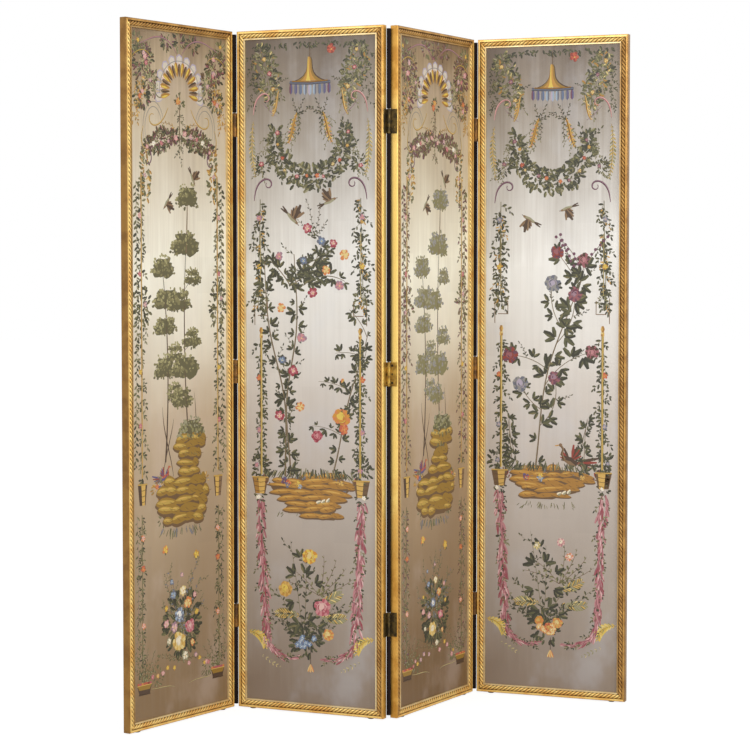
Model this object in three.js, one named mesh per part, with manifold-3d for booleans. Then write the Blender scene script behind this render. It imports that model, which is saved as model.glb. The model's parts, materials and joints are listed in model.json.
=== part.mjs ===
// Folding screen of four equal leaves, joined by butt hinges on their edge faces.
// Millimetres, +Z up. X runs along the screen, the painted fronts look towards -Y.
// The origin is the middle of the standing screen's footprint, on the floor.

import * as THREE from 'three';
import { mergeVertices } from 'three/addons/utils/BufferGeometryUtils.js';
import Module from 'manifold-3d';

// ---- Driving dimensions ----

// Leaves
const PANEL_WIDTH = 430;
const PANEL_HEIGHT = 1827;

// How the screen stands: the direction of the second leaf in plan, and the angle inside each joint
const PANEL_2_HEADING = -23.8;
const ANGLE_1_2 = 101.0;
const ANGLE_2_3 = 96.4;
const ANGLE_3_4 = 98.9;

// Thicknesses from the back to the front, with a glue line between neighbours
const BACK_BOARD_THICKNESS = 2.8;
const TONGUE_THICKNESS = 9.6;
const FRONT_BOARD_THICKNESS = 3.0;
const MOULDING_RISE = 6.5;
const GLUE_LINE = 0.3;

// Moulded frame members, across their width from the outer edge
const OUTER_FILLET_WIDTH = 6.5;
const ROPE_WIDTH = 13.2;
const ROPE_RISE = 4.4;
const INNER_FILLET_WIDTH = 3.8;
const INNER_FILLET_DROP = 2.4;
const TONGUE_WIDTH = 20;
const ARRIS_RADIUS = 2.0;
const MITRE_GAP = 0.3;
const ROPE_ARC_STEPS = 8;

// Battens inside a leaf
const BATTEN_HEIGHT = 45;
const BATTEN_END_DISTANCE = 600;
const TENON_LENGTH = 11;
const TENON_THICKNESS = 3.6;
const TENON_SHOULDER = 7;
const JOINT_CLEARANCE = 0.3;

// Butt hinges
const HINGE_HEIGHT = 63.5;
const HINGE_END_DISTANCE = 250;
const KNUCKLE_COUNT = 5;
const KNUCKLE_RADIUS = 5.6;
const KNUCKLE_GAP = 0.4;
const KNUCKLE_CLEARANCE = 0.4;
const LEAF_THICKNESS = 2.4;
const LEAF_SETBACK = 1.5;
const LEAF_SEAT_GAP = 0.3;
const FOLDED_GAP = 2.0;
const PIN_RADIUS = 2.5;
const PIN_CLEARANCE = 0.3;
const PIN_HEAD_RADIUS = 4.2;
const PIN_HEAD_HEIGHT = 1.6;
const KNUCKLE_SIDES = 16;
const PIN_SIDES = 8;

// Countersunk holes for the screws of a hinge leaf
const SCREWS_PER_LEAF = 3;
const SCREW_HEAD_RADIUS = 3.6;
const SCREW_HOLE_RADIUS = 1.9;
const SCREW_END_MARGIN = 9;
const SCREW_HOLE_SIDES = 8;

// Glides under the bottom rails
const GLIDE_RADIUS = 9;
const GLIDE_FACE_RADIUS = 6.5;
const GLIDE_HEIGHT = 3.0;
const GLIDE_INSET = 40;
const GLIDE_SIDES = 16;

// ---- Places that follow from the sizes, in a leaf's own frame ----
// x runs from the left edge, y from the front fillet plane to the back, z from the floor.

const BOTTOM = GLIDE_HEIGHT;
const TOP = BOTTOM + PANEL_HEIGHT;
const MIDDLE = (BOTTOM + TOP) / 2;

const FRONT_BOARD_Y = MOULDING_RISE;
const TONGUE_Y = FRONT_BOARD_Y + FRONT_BOARD_THICKNESS + GLUE_LINE;
const TONGUE_MIDDLE_Y = TONGUE_Y + TONGUE_THICKNESS / 2;
const BACK_BOARD_Y = TONGUE_Y + TONGUE_THICKNESS + GLUE_LINE;
const PANEL_THICKNESS = BACK_BOARD_Y + BACK_BOARD_THICKNESS;

const MOULDING_WIDTH = OUTER_FILLET_WIDTH + ROPE_WIDTH + INNER_FILLET_WIDTH;
const MEMBER_WIDTH = MOULDING_WIDTH + TONGUE_WIDTH;
const BATTEN_CENTRES = [BOTTOM + BATTEN_END_DISTANCE, TOP - BATTEN_END_DISTANCE];

const AXIS_OFFSET = KNUCKLE_RADIUS + LEAF_SEAT_GAP;
const FRONT_AXIS_Y = -FOLDED_GAP / 2;
const BACK_AXIS_Y = PANEL_THICKNESS + FOLDED_GAP / 2;
const KNUCKLE_PITCH = HINGE_HEIGHT / KNUCKLE_COUNT;
const SCREW_SPACING = (HINGE_HEIGHT - 2 * SCREW_END_MARGIN) / (SCREWS_PER_LEAF - 1);

const HINGE_CENTRES = {
  lower: BOTTOM + HINGE_END_DISTANCE,
  middle: MIDDLE,
  upper: TOP - HINGE_END_DISTANCE,
};

const LEFT = 'left';
const RIGHT = 'right';

// ---- Finishes ----

const FINISHES = {
  wood: { color: 0x9a7448, roughness: 0.8, metalness: 0.0 },
  silverLeaf: { color: 0xb8aa96, roughness: 0.4, metalness: 0.5 },
  blackLacquer: { color: 0x1c1612, roughness: 0.3, metalness: 0.0 },
  gilt: { color: 0xb8862e, roughness: 0.4, metalness: 0.8 },
  brass: { color: 0x8a6a30, roughness: 0.45, metalness: 0.9 },
  steel: { color: 0x6e6a64, roughness: 0.5, metalness: 0.9 },
};

// ---- Solids and booleans ----

const library = await Module();
library.setup();

// A closed mesh as a solid, without the flat triangles that close a lathe's poles.
function toSolid(geometry) {
  const bare = geometry.clone();
  bare.deleteAttribute('normal');
  bare.deleteAttribute('uv');
  const merged = mergeVertices(bare, 1e-4);
  const index = Array.from(merged.index.array);
  const triVerts = [];
  for (let i = 0; i < index.length; i += 3) {
    const [a, b, c] = index.slice(i, i + 3);
    if (a !== b && b !== c && c !== a) triVerts.push(a, b, c);
  }
  const vertProperties = new Float32Array(merged.attributes.position.array);
  const mesh = new library.Mesh({ numProp: 3, vertProperties, triVerts: new Uint32Array(triVerts) });
  return new library.Manifold(mesh);
}

function toGeometry(solid) {
  const mesh = solid.getMesh();
  const indexed = new THREE.BufferGeometry();
  indexed.setAttribute('position', new THREE.BufferAttribute(new Float32Array(mesh.vertProperties), 3));
  indexed.setIndex(Array.from(mesh.triVerts));
  const geometry = indexed.toNonIndexed();
  geometry.computeVertexNormals();
  return geometry;
}

function join(geometries) {
  return toGeometry(geometries.map(toSolid).reduce((whole, piece) => whole.add(piece)));
}

function cut(geometry, tools) {
  return toGeometry(tools.map(toSolid).reduce((rest, tool) => rest.subtract(tool), toSolid(geometry)));
}

function block(x, y, z) {
  const geometry = new THREE.BoxGeometry(x[1] - x[0], y[1] - y[0], z[1] - z[0]);
  geometry.translate((x[0] + x[1]) / 2, (y[0] + y[1]) / 2, (z[0] + z[1]) / 2);
  return geometry;
}

// An upright cylinder.
function post(x, y, z, radius, sides) {
  const geometry = new THREE.CylinderGeometry(radius, radius, z[1] - z[0], sides);
  geometry.rotateX(Math.PI / 2);
  geometry.translate(x, y, (z[0] + z[1]) / 2);
  return geometry;
}

// A piece turned about Z, from [radius, height] points that run upwards.
function turned(points, sides) {
  const profile = points.map(([radius, height]) => new THREE.Vector2(radius, height));
  const geometry = new THREE.LatheGeometry(profile, sides);
  geometry.rotateX(Math.PI / 2);
  return geometry;
}

// ---- Moulded frame members ----

// Section of a member: u from the outer edge inwards, v from the back to the front.
// The boards lie in the rebates before and behind its tongue.
function memberSection() {
  const ropeStart = OUTER_FILLET_WIDTH;
  const ropeEnd = ropeStart + ROPE_WIDTH;
  const half = ROPE_WIDTH / 2;
  const ropeRadius = (half * half + ROPE_RISE * ROPE_RISE) / (2 * ROPE_RISE);
  const reach = Math.asin(half / ropeRadius);
  const innerTop = PANEL_THICKNESS - INNER_FILLET_DROP;
  const tongueBack = PANEL_THICKNESS - TONGUE_Y - TONGUE_THICKNESS;
  const tongueFront = PANEL_THICKNESS - TONGUE_Y;
  const shape = new THREE.Shape();
  shape.moveTo(0, 0);
  shape.lineTo(MOULDING_WIDTH, 0);
  shape.lineTo(MOULDING_WIDTH, tongueBack);
  shape.lineTo(MEMBER_WIDTH, tongueBack);
  shape.lineTo(MEMBER_WIDTH, tongueFront);
  shape.lineTo(MOULDING_WIDTH, tongueFront);
  shape.lineTo(MOULDING_WIDTH, innerTop);
  shape.lineTo(ropeEnd, innerTop);
  shape.lineTo(ropeEnd, PANEL_THICKNESS - ROPE_RISE);
  const ropeCentre = [ropeStart + half, PANEL_THICKNESS - ropeRadius];
  shape.absarc(...ropeCentre, ropeRadius, Math.PI / 2 - reach, Math.PI / 2 + reach, false);
  shape.lineTo(ropeStart, PANEL_THICKNESS);
  shape.lineTo(ARRIS_RADIUS, PANEL_THICKNESS);
  shape.absarc(ARRIS_RADIUS, PANEL_THICKNESS - ARRIS_RADIUS, ARRIS_RADIUS, Math.PI / 2, Math.PI, false);
  shape.closePath();
  return shape;
}

// One member with both ends mitred: each end leans inwards with the distance u from the outer edge.
// corner is the x and z of its outer edge's start, across and along are its directions.
function memberGeometry(length, corner, across, along) {
  const geometry = new THREE.ExtrudeGeometry(memberSection(), {
    depth: 1,
    steps: 1,
    bevelEnabled: false,
    curveSegments: ROPE_ARC_STEPS,
  });
  const position = geometry.attributes.position;
  const endGap = MITRE_GAP / Math.SQRT2;
  for (let i = 0; i < position.count; i += 1) {
    const lean = position.getX(i) + endGap;
    position.setZ(i, position.getZ(i) > 0.5 ? length - lean : lean);
  }
  const forwards = new THREE.Vector3(0, -1, 0);
  const place = new THREE.Matrix4().makeBasis(across, forwards, along);
  place.setPosition(corner[0], PANEL_THICKNESS, corner[1]);
  geometry.applyMatrix4(place);
  geometry.computeVertexNormals();
  return geometry;
}

const TO_RIGHT = new THREE.Vector3(1, 0, 0);
const TO_LEFT = new THREE.Vector3(-1, 0, 0);
const UPWARDS = new THREE.Vector3(0, 0, 1);
const DOWNWARDS = new THREE.Vector3(0, 0, -1);

function stileGeometry(side) {
  const member =
    side === LEFT
      ? memberGeometry(PANEL_HEIGHT, [0, TOP], TO_RIGHT, DOWNWARDS)
      : memberGeometry(PANEL_HEIGHT, [PANEL_WIDTH, BOTTOM], TO_LEFT, UPWARDS);
  return cut(member, BATTEN_CENTRES.map((centre) => tenonBar(centre, JOINT_CLEARANCE)));
}

function topRailGeometry() {
  return memberGeometry(PANEL_WIDTH, [PANEL_WIDTH, TOP], DOWNWARDS, TO_LEFT);
}

function bottomRailGeometry() {
  const member = memberGeometry(PANEL_WIDTH, [0, BOTTOM], UPWARDS, TO_RIGHT);
  return join([member, glideGeometry(GLIDE_INSET), glideGeometry(PANEL_WIDTH - GLIDE_INSET)]);
}

// A glide reaches into the rail that it is driven into.
function glideGeometry(x) {
  const points = [
    [0, 0],
    [GLIDE_FACE_RADIUS, 0],
    [GLIDE_RADIUS, GLIDE_HEIGHT / 2],
    [GLIDE_RADIUS, GLIDE_HEIGHT],
    [GLIDE_RADIUS / 2, GLIDE_HEIGHT * 2],
    [0, GLIDE_HEIGHT * 2],
  ];
  const geometry = turned(points, GLIDE_SIDES);
  geometry.translate(x, PANEL_THICKNESS / 2, 0);
  return geometry;
}

// ---- Battens and boards ----

// The bar whose two ends are a batten's tenons; with a clearance it cuts both mortises.
function tenonBar(centre, clearance) {
  const end = MEMBER_WIDTH + JOINT_CLEARANCE - TENON_LENGTH - clearance;
  const halfThickness = TENON_THICKNESS / 2 + clearance;
  const halfHeight = BATTEN_HEIGHT / 2 - TENON_SHOULDER + clearance;
  return block(
    [end, PANEL_WIDTH - end],
    [TONGUE_MIDDLE_Y - halfThickness, TONGUE_MIDDLE_Y + halfThickness],
    [centre - halfHeight, centre + halfHeight],
  );
}

function battenGeometry(centre) {
  const end = MEMBER_WIDTH + JOINT_CLEARANCE;
  const body = block(
    [end, PANEL_WIDTH - end],
    [TONGUE_Y, TONGUE_Y + TONGUE_THICKNESS],
    [centre - BATTEN_HEIGHT / 2, centre + BATTEN_HEIGHT / 2],
  );
  return join([body, tenonBar(centre, 0)]);
}

function boardGeometry(y, thickness) {
  const edge = MOULDING_WIDTH + JOINT_CLEARANCE;
  return block([edge, PANEL_WIDTH - edge], [y, y + thickness], [BOTTOM + edge, TOP - edge]);
}

// ---- Hinges ----

// The x of a point that stands a distance out of a leaf's left or right edge face.
function outside(side, distance) {
  return side === LEFT ? -distance : PANEL_WIDTH + distance;
}

function ascending(a, b) {
  return [Math.min(a, b), Math.max(a, b)];
}

// The hollow that a countersunk screw fills: a cone from the leaf's outer face down to the plain hole.
function screwHole(side, z) {
  const depth = LEAF_THICKNESS + LEAF_SEAT_GAP;
  const coneDepth = SCREW_HEAD_RADIUS - SCREW_HOLE_RADIUS;
  const over = LEAF_SEAT_GAP;
  const points = [
    [0, -depth],
    [SCREW_HOLE_RADIUS, -depth],
    [SCREW_HOLE_RADIUS, -coneDepth],
    [SCREW_HEAD_RADIUS, 0],
    [SCREW_HEAD_RADIUS, over],
    [0, over],
  ];
  const geometry = turned(points, SCREW_HOLE_SIDES);
  geometry.rotateY(side === LEFT ? -Math.PI / 2 : Math.PI / 2);
  geometry.translate(outside(side, depth), TONGUE_MIDDLE_Y, z);
  return geometry;
}

function knuckleSpan(centre, index, gap) {
  const start = centre - HINGE_HEIGHT / 2 + index * KNUCKLE_PITCH;
  return [start + gap / 2, start + KNUCKLE_PITCH - gap / 2];
}

// One hinge leaf. The one that holds the pin has the first knuckle and every other one after it, the
// opposite leaf has those between.
function hingeLeafGeometry(side, axisY, holdsPin, centre) {
  const axisX = outside(side, AXIS_OFFSET);
  const farY = axisY < 0 ? PANEL_THICKNESS - LEAF_SETBACK : LEAF_SETBACK;
  const height = [centre - HINGE_HEIGHT / 2, centre + HINGE_HEIGHT / 2];
  const plate = block(
    ascending(outside(side, LEAF_SEAT_GAP), outside(side, LEAF_SEAT_GAP + LEAF_THICKNESS)),
    ascending(axisY, farY),
    height,
  );
  const knuckles = [];
  const clearances = [];
  for (let index = 0; index < KNUCKLE_COUNT; index += 1) {
    const own = (index % 2 === 0) === holdsPin;
    const gap = own ? KNUCKLE_GAP : -KNUCKLE_GAP;
    const radius = own ? KNUCKLE_RADIUS : KNUCKLE_RADIUS + KNUCKLE_CLEARANCE;
    const knuckle = post(axisX, axisY, knuckleSpan(centre, index, gap), radius, KNUCKLE_SIDES);
    (own ? knuckles : clearances).push(knuckle);
  }
  const bore = post(axisX, axisY, [height[0] - 1, height[1] + 1], PIN_RADIUS + PIN_CLEARANCE, PIN_SIDES);
  const holes = [];
  for (let index = 0; index < SCREWS_PER_LEAF; index += 1) {
    holes.push(screwHole(side, height[0] + SCREW_END_MARGIN + index * SCREW_SPACING));
  }
  return cut(join([cut(plate, clearances), ...knuckles]), [bore, ...holes]);
}

function pinGeometry(side, axisY, centre) {
  const headSeat = HINGE_HEIGHT / 2 + PIN_CLEARANCE;
  const chamfer = PIN_RADIUS / 4;
  const points = [
    [0, -HINGE_HEIGHT / 2],
    [PIN_RADIUS - chamfer, -HINGE_HEIGHT / 2],
    [PIN_RADIUS, -HINGE_HEIGHT / 2 + chamfer],
    [PIN_RADIUS, headSeat],
    [PIN_HEAD_RADIUS, headSeat],
    [PIN_HEAD_RADIUS, headSeat + PIN_HEAD_HEIGHT / 2],
    [PIN_HEAD_RADIUS / 2, headSeat + PIN_HEAD_HEIGHT],
    [0, headSeat + PIN_HEAD_HEIGHT],
  ];
  const geometry = turned(points, PIN_SIDES);
  geometry.translate(outside(side, AXIS_OFFSET), axisY, centre);
  return geometry;
}

// ---- Leaves of the screen ----

// What hangs on each edge of each leaf. Joints 1-2 and 3-4 have their barrels in front, so that the
// painted fronts close on each other; joint 2-3 has its barrels behind.
const PANELS = [
  { right: { joint: '1_2', axisY: FRONT_AXIS_Y, holdsPin: false } },
  {
    left: { joint: '1_2', axisY: FRONT_AXIS_Y, holdsPin: true },
    right: { joint: '2_3', axisY: BACK_AXIS_Y, holdsPin: true },
  },
  {
    left: { joint: '2_3', axisY: BACK_AXIS_Y, holdsPin: false },
    right: { joint: '3_4', axisY: FRONT_AXIS_Y, holdsPin: true },
  },
  { left: { joint: '3_4', axisY: FRONT_AXIS_Y, holdsPin: false } },
];

function piece(name, geometry, finish) {
  const mesh = new THREE.Mesh(geometry, new THREE.MeshStandardMaterial(FINISHES[finish]));
  mesh.name = name;
  return mesh;
}

function hingePieces(number, side, { joint, axisY, holdsPin }) {
  const pieces = [];
  for (const [height, centre] of Object.entries(HINGE_CENTRES)) {
    const hinge = `hinge_${joint}_${height}`;
    const leaf = hingeLeafGeometry(side, axisY, holdsPin, centre);
    pieces.push(piece(`${hinge}_leaf_on_panel_${number}`, leaf, 'brass'));
    if (holdsPin) pieces.push(piece(`${hinge}_pin`, pinGeometry(side, axisY, centre), 'steel'));
  }
  return pieces;
}

function panelGroup(number, edges) {
  const prefix = `panel_${number}`;
  const front = boardGeometry(FRONT_BOARD_Y, FRONT_BOARD_THICKNESS);
  const back = boardGeometry(BACK_BOARD_Y, BACK_BOARD_THICKNESS);
  const panel = new THREE.Group();
  panel.add(
    piece(`${prefix}_left_stile`, stileGeometry(LEFT), 'gilt'),
    piece(`${prefix}_right_stile`, stileGeometry(RIGHT), 'gilt'),
    piece(`${prefix}_top_rail`, topRailGeometry(), 'gilt'),
    piece(`${prefix}_bottom_rail`, bottomRailGeometry(), 'gilt'),
    piece(`${prefix}_lower_batten`, battenGeometry(BATTEN_CENTRES[0]), 'wood'),
    piece(`${prefix}_upper_batten`, battenGeometry(BATTEN_CENTRES[1]), 'wood'),
    piece(`${prefix}_front_board`, front, 'silverLeaf'),
    piece(`${prefix}_back_board`, back, 'blackLacquer'),
  );
  for (const side of [LEFT, RIGHT].filter((each) => edges[each])) {
    panel.add(...hingePieces(number, side, edges[side]));
  }
  return panel;
}

// Sets a leaf so that the axis on its left edge meets the axis on the right edge of the leaf before it.
function hang(panel, before, axisY, heading) {
  panel.rotation.z = THREE.MathUtils.degToRad(heading);
  before.updateMatrix();
  const axis = new THREE.Vector3(outside(RIGHT, AXIS_OFFSET), axisY, 0).applyMatrix4(before.matrix);
  const reach = new THREE.Vector3(outside(LEFT, AXIS_OFFSET), axisY, 0).applyEuler(panel.rotation);
  panel.position.copy(axis).sub(reach);
}

function buildScreen() {
  const headings = [PANEL_2_HEADING + 180 - ANGLE_1_2, PANEL_2_HEADING];
  headings.push(PANEL_2_HEADING + 180 - ANGLE_2_3);
  headings.push(headings[2] - 180 + ANGLE_3_4);
  const screen = new THREE.Group();
  const panels = PANELS.map((edges, index) => panelGroup(index + 1, edges));
  panels[0].rotation.z = THREE.MathUtils.degToRad(headings[0]);
  for (let index = 1; index < panels.length; index += 1) {
    hang(panels[index], panels[index - 1], PANELS[index].left.axisY, headings[index]);
  }
  screen.add(...panels);
  const centre = new THREE.Box3().setFromObject(screen, true).getCenter(new THREE.Vector3());
  screen.position.set(-centre.x, -centre.y, 0);
  return screen;
}

const screen = buildScreen();

export default screen;
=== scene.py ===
# %% [markdown]
# # A folding screen of four gilt and painted leaves
# The screen stands in a zigzag on four thin leaves. Each leaf is a hollow panel: a front board covered
# in silver leaf and painted with garlands, a dark lacquered back, and a gilt moulding with a twisted rope.
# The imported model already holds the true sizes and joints. This script gives it its finishes, carves the
# rope, sets the screws and paints the leaves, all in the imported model's own frame and in metres.

import json
import math
import random

import bmesh
import bpy
from mathutils import Matrix, Vector


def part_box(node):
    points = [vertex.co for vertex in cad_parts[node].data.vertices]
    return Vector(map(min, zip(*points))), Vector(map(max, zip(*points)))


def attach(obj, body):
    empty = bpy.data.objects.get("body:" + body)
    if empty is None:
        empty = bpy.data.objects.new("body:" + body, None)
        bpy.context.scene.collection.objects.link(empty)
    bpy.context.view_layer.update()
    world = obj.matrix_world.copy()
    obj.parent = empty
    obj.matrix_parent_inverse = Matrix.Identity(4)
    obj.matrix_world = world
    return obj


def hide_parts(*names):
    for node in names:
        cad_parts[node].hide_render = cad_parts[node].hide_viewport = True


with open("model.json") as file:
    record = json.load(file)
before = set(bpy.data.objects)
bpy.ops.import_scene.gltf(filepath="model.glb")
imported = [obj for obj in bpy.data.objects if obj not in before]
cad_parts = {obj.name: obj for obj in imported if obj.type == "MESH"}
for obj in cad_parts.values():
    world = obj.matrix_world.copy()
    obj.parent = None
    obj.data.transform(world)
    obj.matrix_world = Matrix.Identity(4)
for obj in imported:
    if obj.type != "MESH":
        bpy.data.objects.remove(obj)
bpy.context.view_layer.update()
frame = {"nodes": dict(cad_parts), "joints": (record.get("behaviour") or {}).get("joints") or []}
MM = 0.001
LEAVES = (1, 2, 3, 4)

# %% [markdown]
# ## Where each leaf stands
# The leaves are turned by different amounts, so a detail is easiest to draw on a leaf that lies square to
# the axes and then to move into place. In a leaf's own space x runs along the leaf from its left edge,
# y runs from its front to its back, and z is the height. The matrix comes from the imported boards: the
# normal of the largest front face gives the turn, and the stile's corners give the origin.

# %% Leaf spaces
FRONT_FACING = -0.3


def find_leaf_space(number):
    board = frame["nodes"][f"panel_{number}_front_board"].data
    faces = [face for face in board.polygons if face.normal.y < FRONT_FACING]
    normal = max(faces, key=lambda face: face.area).normal.normalized()
    along = Vector((-normal.y, normal.x, 0))
    back = -normal
    stile = frame["nodes"][f"panel_{number}_left_stile"].data
    corner_along = min(vertex.co.dot(along) for vertex in stile.vertices)
    corner_back = min(vertex.co.dot(back) for vertex in stile.vertices)
    corner = along * corner_along + back * corner_back
    space = Matrix.Translation(corner)
    space.col[0].xyz = along
    space.col[1].xyz = back
    return space


def find_extent(number, piece):
    mesh = frame["nodes"][f"panel_{number}_{piece}"].data
    into_leaf = leaf_space[number].inverted()
    points = [into_leaf @ vertex.co for vertex in mesh.vertices]
    low = Vector(min(point[axis] for point in points) for axis in range(3))
    high = Vector(max(point[axis] for point in points) for axis in range(3))
    return low, high


leaf_space = {number: find_leaf_space(number) for number in LEAVES}
stile_low, stile_high = find_extent(2, "left_stile")
LEAF_WIDTH = find_extent(2, "right_stile")[1].x
LEAF_BOTTOM = stile_low.z
LEAF_TOP = stile_high.z
LEAF_LENGTH = LEAF_TOP - LEAF_BOTTOM
LEAF_DEPTH = stile_high.y
MEMBER_WIDTH = stile_high.x
PAINT_PLANE = find_extent(2, "front_board")[0].y
for number in LEAVES:
    turn = math.degrees(math.atan2(leaf_space[number][1][0], leaf_space[number][0][0]))
    print(f"leaf {number} turned {turn:.1f} degrees")

# %% [markdown]
# ## The camera
# The photograph was taken from the front, a little above half the screen's height, with a long lens.
# The numbers were found by matching the leaves' corners to the picture, which needs no lens shift.

# %% Camera
CAMERA_PLACE = (-0.0156, -5.8623, 1.1985)
CAMERA_PITCH = 2.818
CAMERA_YAW = 0.084
CAMERA_LENS = 105.23
SENSOR_WIDTH = 36


def add_object(name, data):
    made = bpy.data.objects.new(name, data)
    bpy.context.scene.collection.objects.link(made)
    return made


camera = add_object("camera", bpy.data.cameras.new("camera"))
camera.location = CAMERA_PLACE
camera.rotation_euler = (math.radians(90 - CAMERA_PITCH), 0, math.radians(CAMERA_YAW))
camera.data.lens = CAMERA_LENS
camera.data.sensor_width = SENSOR_WIDTH
bpy.context.scene.camera = camera
print("camera lens", CAMERA_LENS, "mm")

# %% [markdown]
# ## Writing shaders as sums
# A finish is easier to read as a sum of masks than as a web of nodes. The small class below wraps a
# socket, so that ordinary Python operators add the Math nodes. Colours are mixed by a Mix node instead,
# because a Math node would turn them grey.

# %% Shader helpers
def linear(red, green, blue):
    """A colour as a painter reads it off a card, 0 to 255, turned into light values."""
    values = []
    for value in (red, green, blue):
        share = value / 255
        if share <= 0.04045:
            values.append(share / 12.92)
        else:
            values.append(((share + 0.055) / 1.055) ** 2.4)
    return (*values, 1.0)


class Wire:
    """One output of a node, ready for use in a sum."""

    def __init__(self, finish, socket):
        self.finish = finish
        self.socket = socket

    def math(self, operation, *values):
        inputs = dict(enumerate(values))
        return self.finish.node("ShaderNodeMath", {"operation": operation}, inputs)

    def __add__(self, other):
        return self.math("ADD", self, other)

    def __radd__(self, other):
        return self.math("ADD", other, self)

    def __sub__(self, other):
        return self.math("SUBTRACT", self, other)

    def __rsub__(self, other):
        return self.math("SUBTRACT", other, self)

    def __mul__(self, other):
        return self.math("MULTIPLY", self, other)

    def __rmul__(self, other):
        return self.math("MULTIPLY", other, self)

    def __truediv__(self, other):
        return self.math("DIVIDE", self, other)

    def floor(self):
        return self.math("FLOOR", self)

    def between(self, low, high):
        """0 below low, 1 above high, with a soft step from one to the other."""
        settings = {"interpolation_type": "SMOOTHSTEP"}
        inputs = {"Value": self, "From Min": low, "From Max": high}
        return self.finish.node("ShaderNodeMapRange", settings, inputs)


def set_stops(ramp, stops):
    while len(ramp.elements) < len(stops):
        ramp.elements.new(0.5)
    for element, (place, colour) in zip(ramp.elements, stops):
        element.position = place
        element.color = colour


class Finish:
    """A material, or the world, whose nodes are added one at a time."""

    def __init__(self, name, owner=None):
        self.owner = owner or bpy.data.materials.new(name)
        self.owner.use_nodes = True
        self.tree = self.owner.node_tree
        self.tree.nodes.clear()

    def node(self, kind, settings=None, inputs=None, output=0):
        made = self.tree.nodes.new(kind)
        for key, value in (settings or {}).items():
            if key == "stops":
                set_stops(made.color_ramp, value)
            else:
                setattr(made, key, value)
        for key, value in (inputs or {}).items():
            if isinstance(value, Wire):
                self.tree.links.new(value.socket, made.inputs[key])
            else:
                made.inputs[key].default_value = value
        return Wire(self, made.outputs[output])

    def mix(self, factor, first, second, blend="MIX"):
        settings = {"data_type": "RGBA", "blend_type": blend}
        return self.node("ShaderNodeMix", settings, {0: factor, 6: first, 7: second}, 2)

    def ramp(self, value, stops):
        return self.node("ShaderNodeValToRGB", {"stops": stops}, {0: value})

    def place(self, scale=(1, 1, 1), turn=0.0, origin=(0, 0, 0)):
        """Object coordinates, counted from an origin and turned with a leaf."""
        coordinates = self.node("ShaderNodeTexCoord", output=3)
        turned = {"Vector": coordinates, "Location": origin, "Rotation": (0, 0, turn)}
        local = self.node("ShaderNodeMapping", {"vector_type": "TEXTURE"}, turned)
        return self.node("ShaderNodeMapping", None, {"Vector": local, "Scale": scale})

    def noise(self, place, scale, detail=3.0, roughness=0.5):
        inputs = {"Vector": place, "Scale": scale, "Detail": detail, "Roughness": roughness}
        return self.node("ShaderNodeTexNoise", None, inputs)

    def bump(self, height, strength, distance):
        inputs = {"Height": height, "Strength": strength, "Distance": distance}
        return self.node("ShaderNodeBump", None, inputs)

    def surface(self, **sockets):
        """Closes the material with a Principled surface. Underscores stand for spaces."""
        inputs = {key.replace("_", " "): value for key, value in sockets.items()}
        return self.close(self.node("ShaderNodeBsdfPrincipled", None, inputs))

    def close(self, shader, kind="ShaderNodeOutputMaterial"):
        target = self.tree.nodes.new(kind)
        self.tree.links.new(shader.socket, target.inputs["Surface"])
        return self.owner


# %% [markdown]
# ## Silver leaf with tarnish and a painted reflection
# The ground of the painting is silver leaf under a thin varnish. It was brushed down in long vertical
# strokes. It is almost white at mid height and a warm grey at the top and the bottom: a painted reflection,
# a bright band of light at mid height, over tarnish towards the ends. This is a colour ramp over the height,
# and a gamma above 1 darkens some panels more than others.
# Stretched noise gives the brush strokes, soft clouds carry a pale bloom, and a grid of faint tone steps
# shows the separate squares of leaf. Two panels are warm and two are cooler.

# %% Silver leaf
WARM_SILVER = [(126, 100, 70), (200, 179, 147), (255, 250, 232), (202, 180, 150), (140, 113, 79)]
COOL_SILVER = [(98, 84, 72), (144, 132, 118), (234, 231, 225), (208, 198, 188), (146, 129, 113)]
SILVER_HEIGHTS = (1.0, 0.9, 0.65, 0.43, 0.03)
SILVER_FAMILY = {1: WARM_SILVER, 2: COOL_SILVER, 3: WARM_SILVER, 4: COOL_SILVER}
SILVER_GAMMA = {1: 1.0, 2: 1.06, 3: 1.24, 4: 1.0}
WARM_BLOOM = (226, 208, 198)
COOL_BLOOM = (206, 208, 216)
SILVER_BLOOM = {1: WARM_BLOOM, 2: COOL_BLOOM, 3: WARM_BLOOM, 4: COOL_BLOOM}
STROKE_TONE = (150, 134, 116)
SQUARE_TONE = (120, 108, 100)
LEAF_SQUARE = 0.095
SQUARE_STAGGER = 0.37


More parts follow.
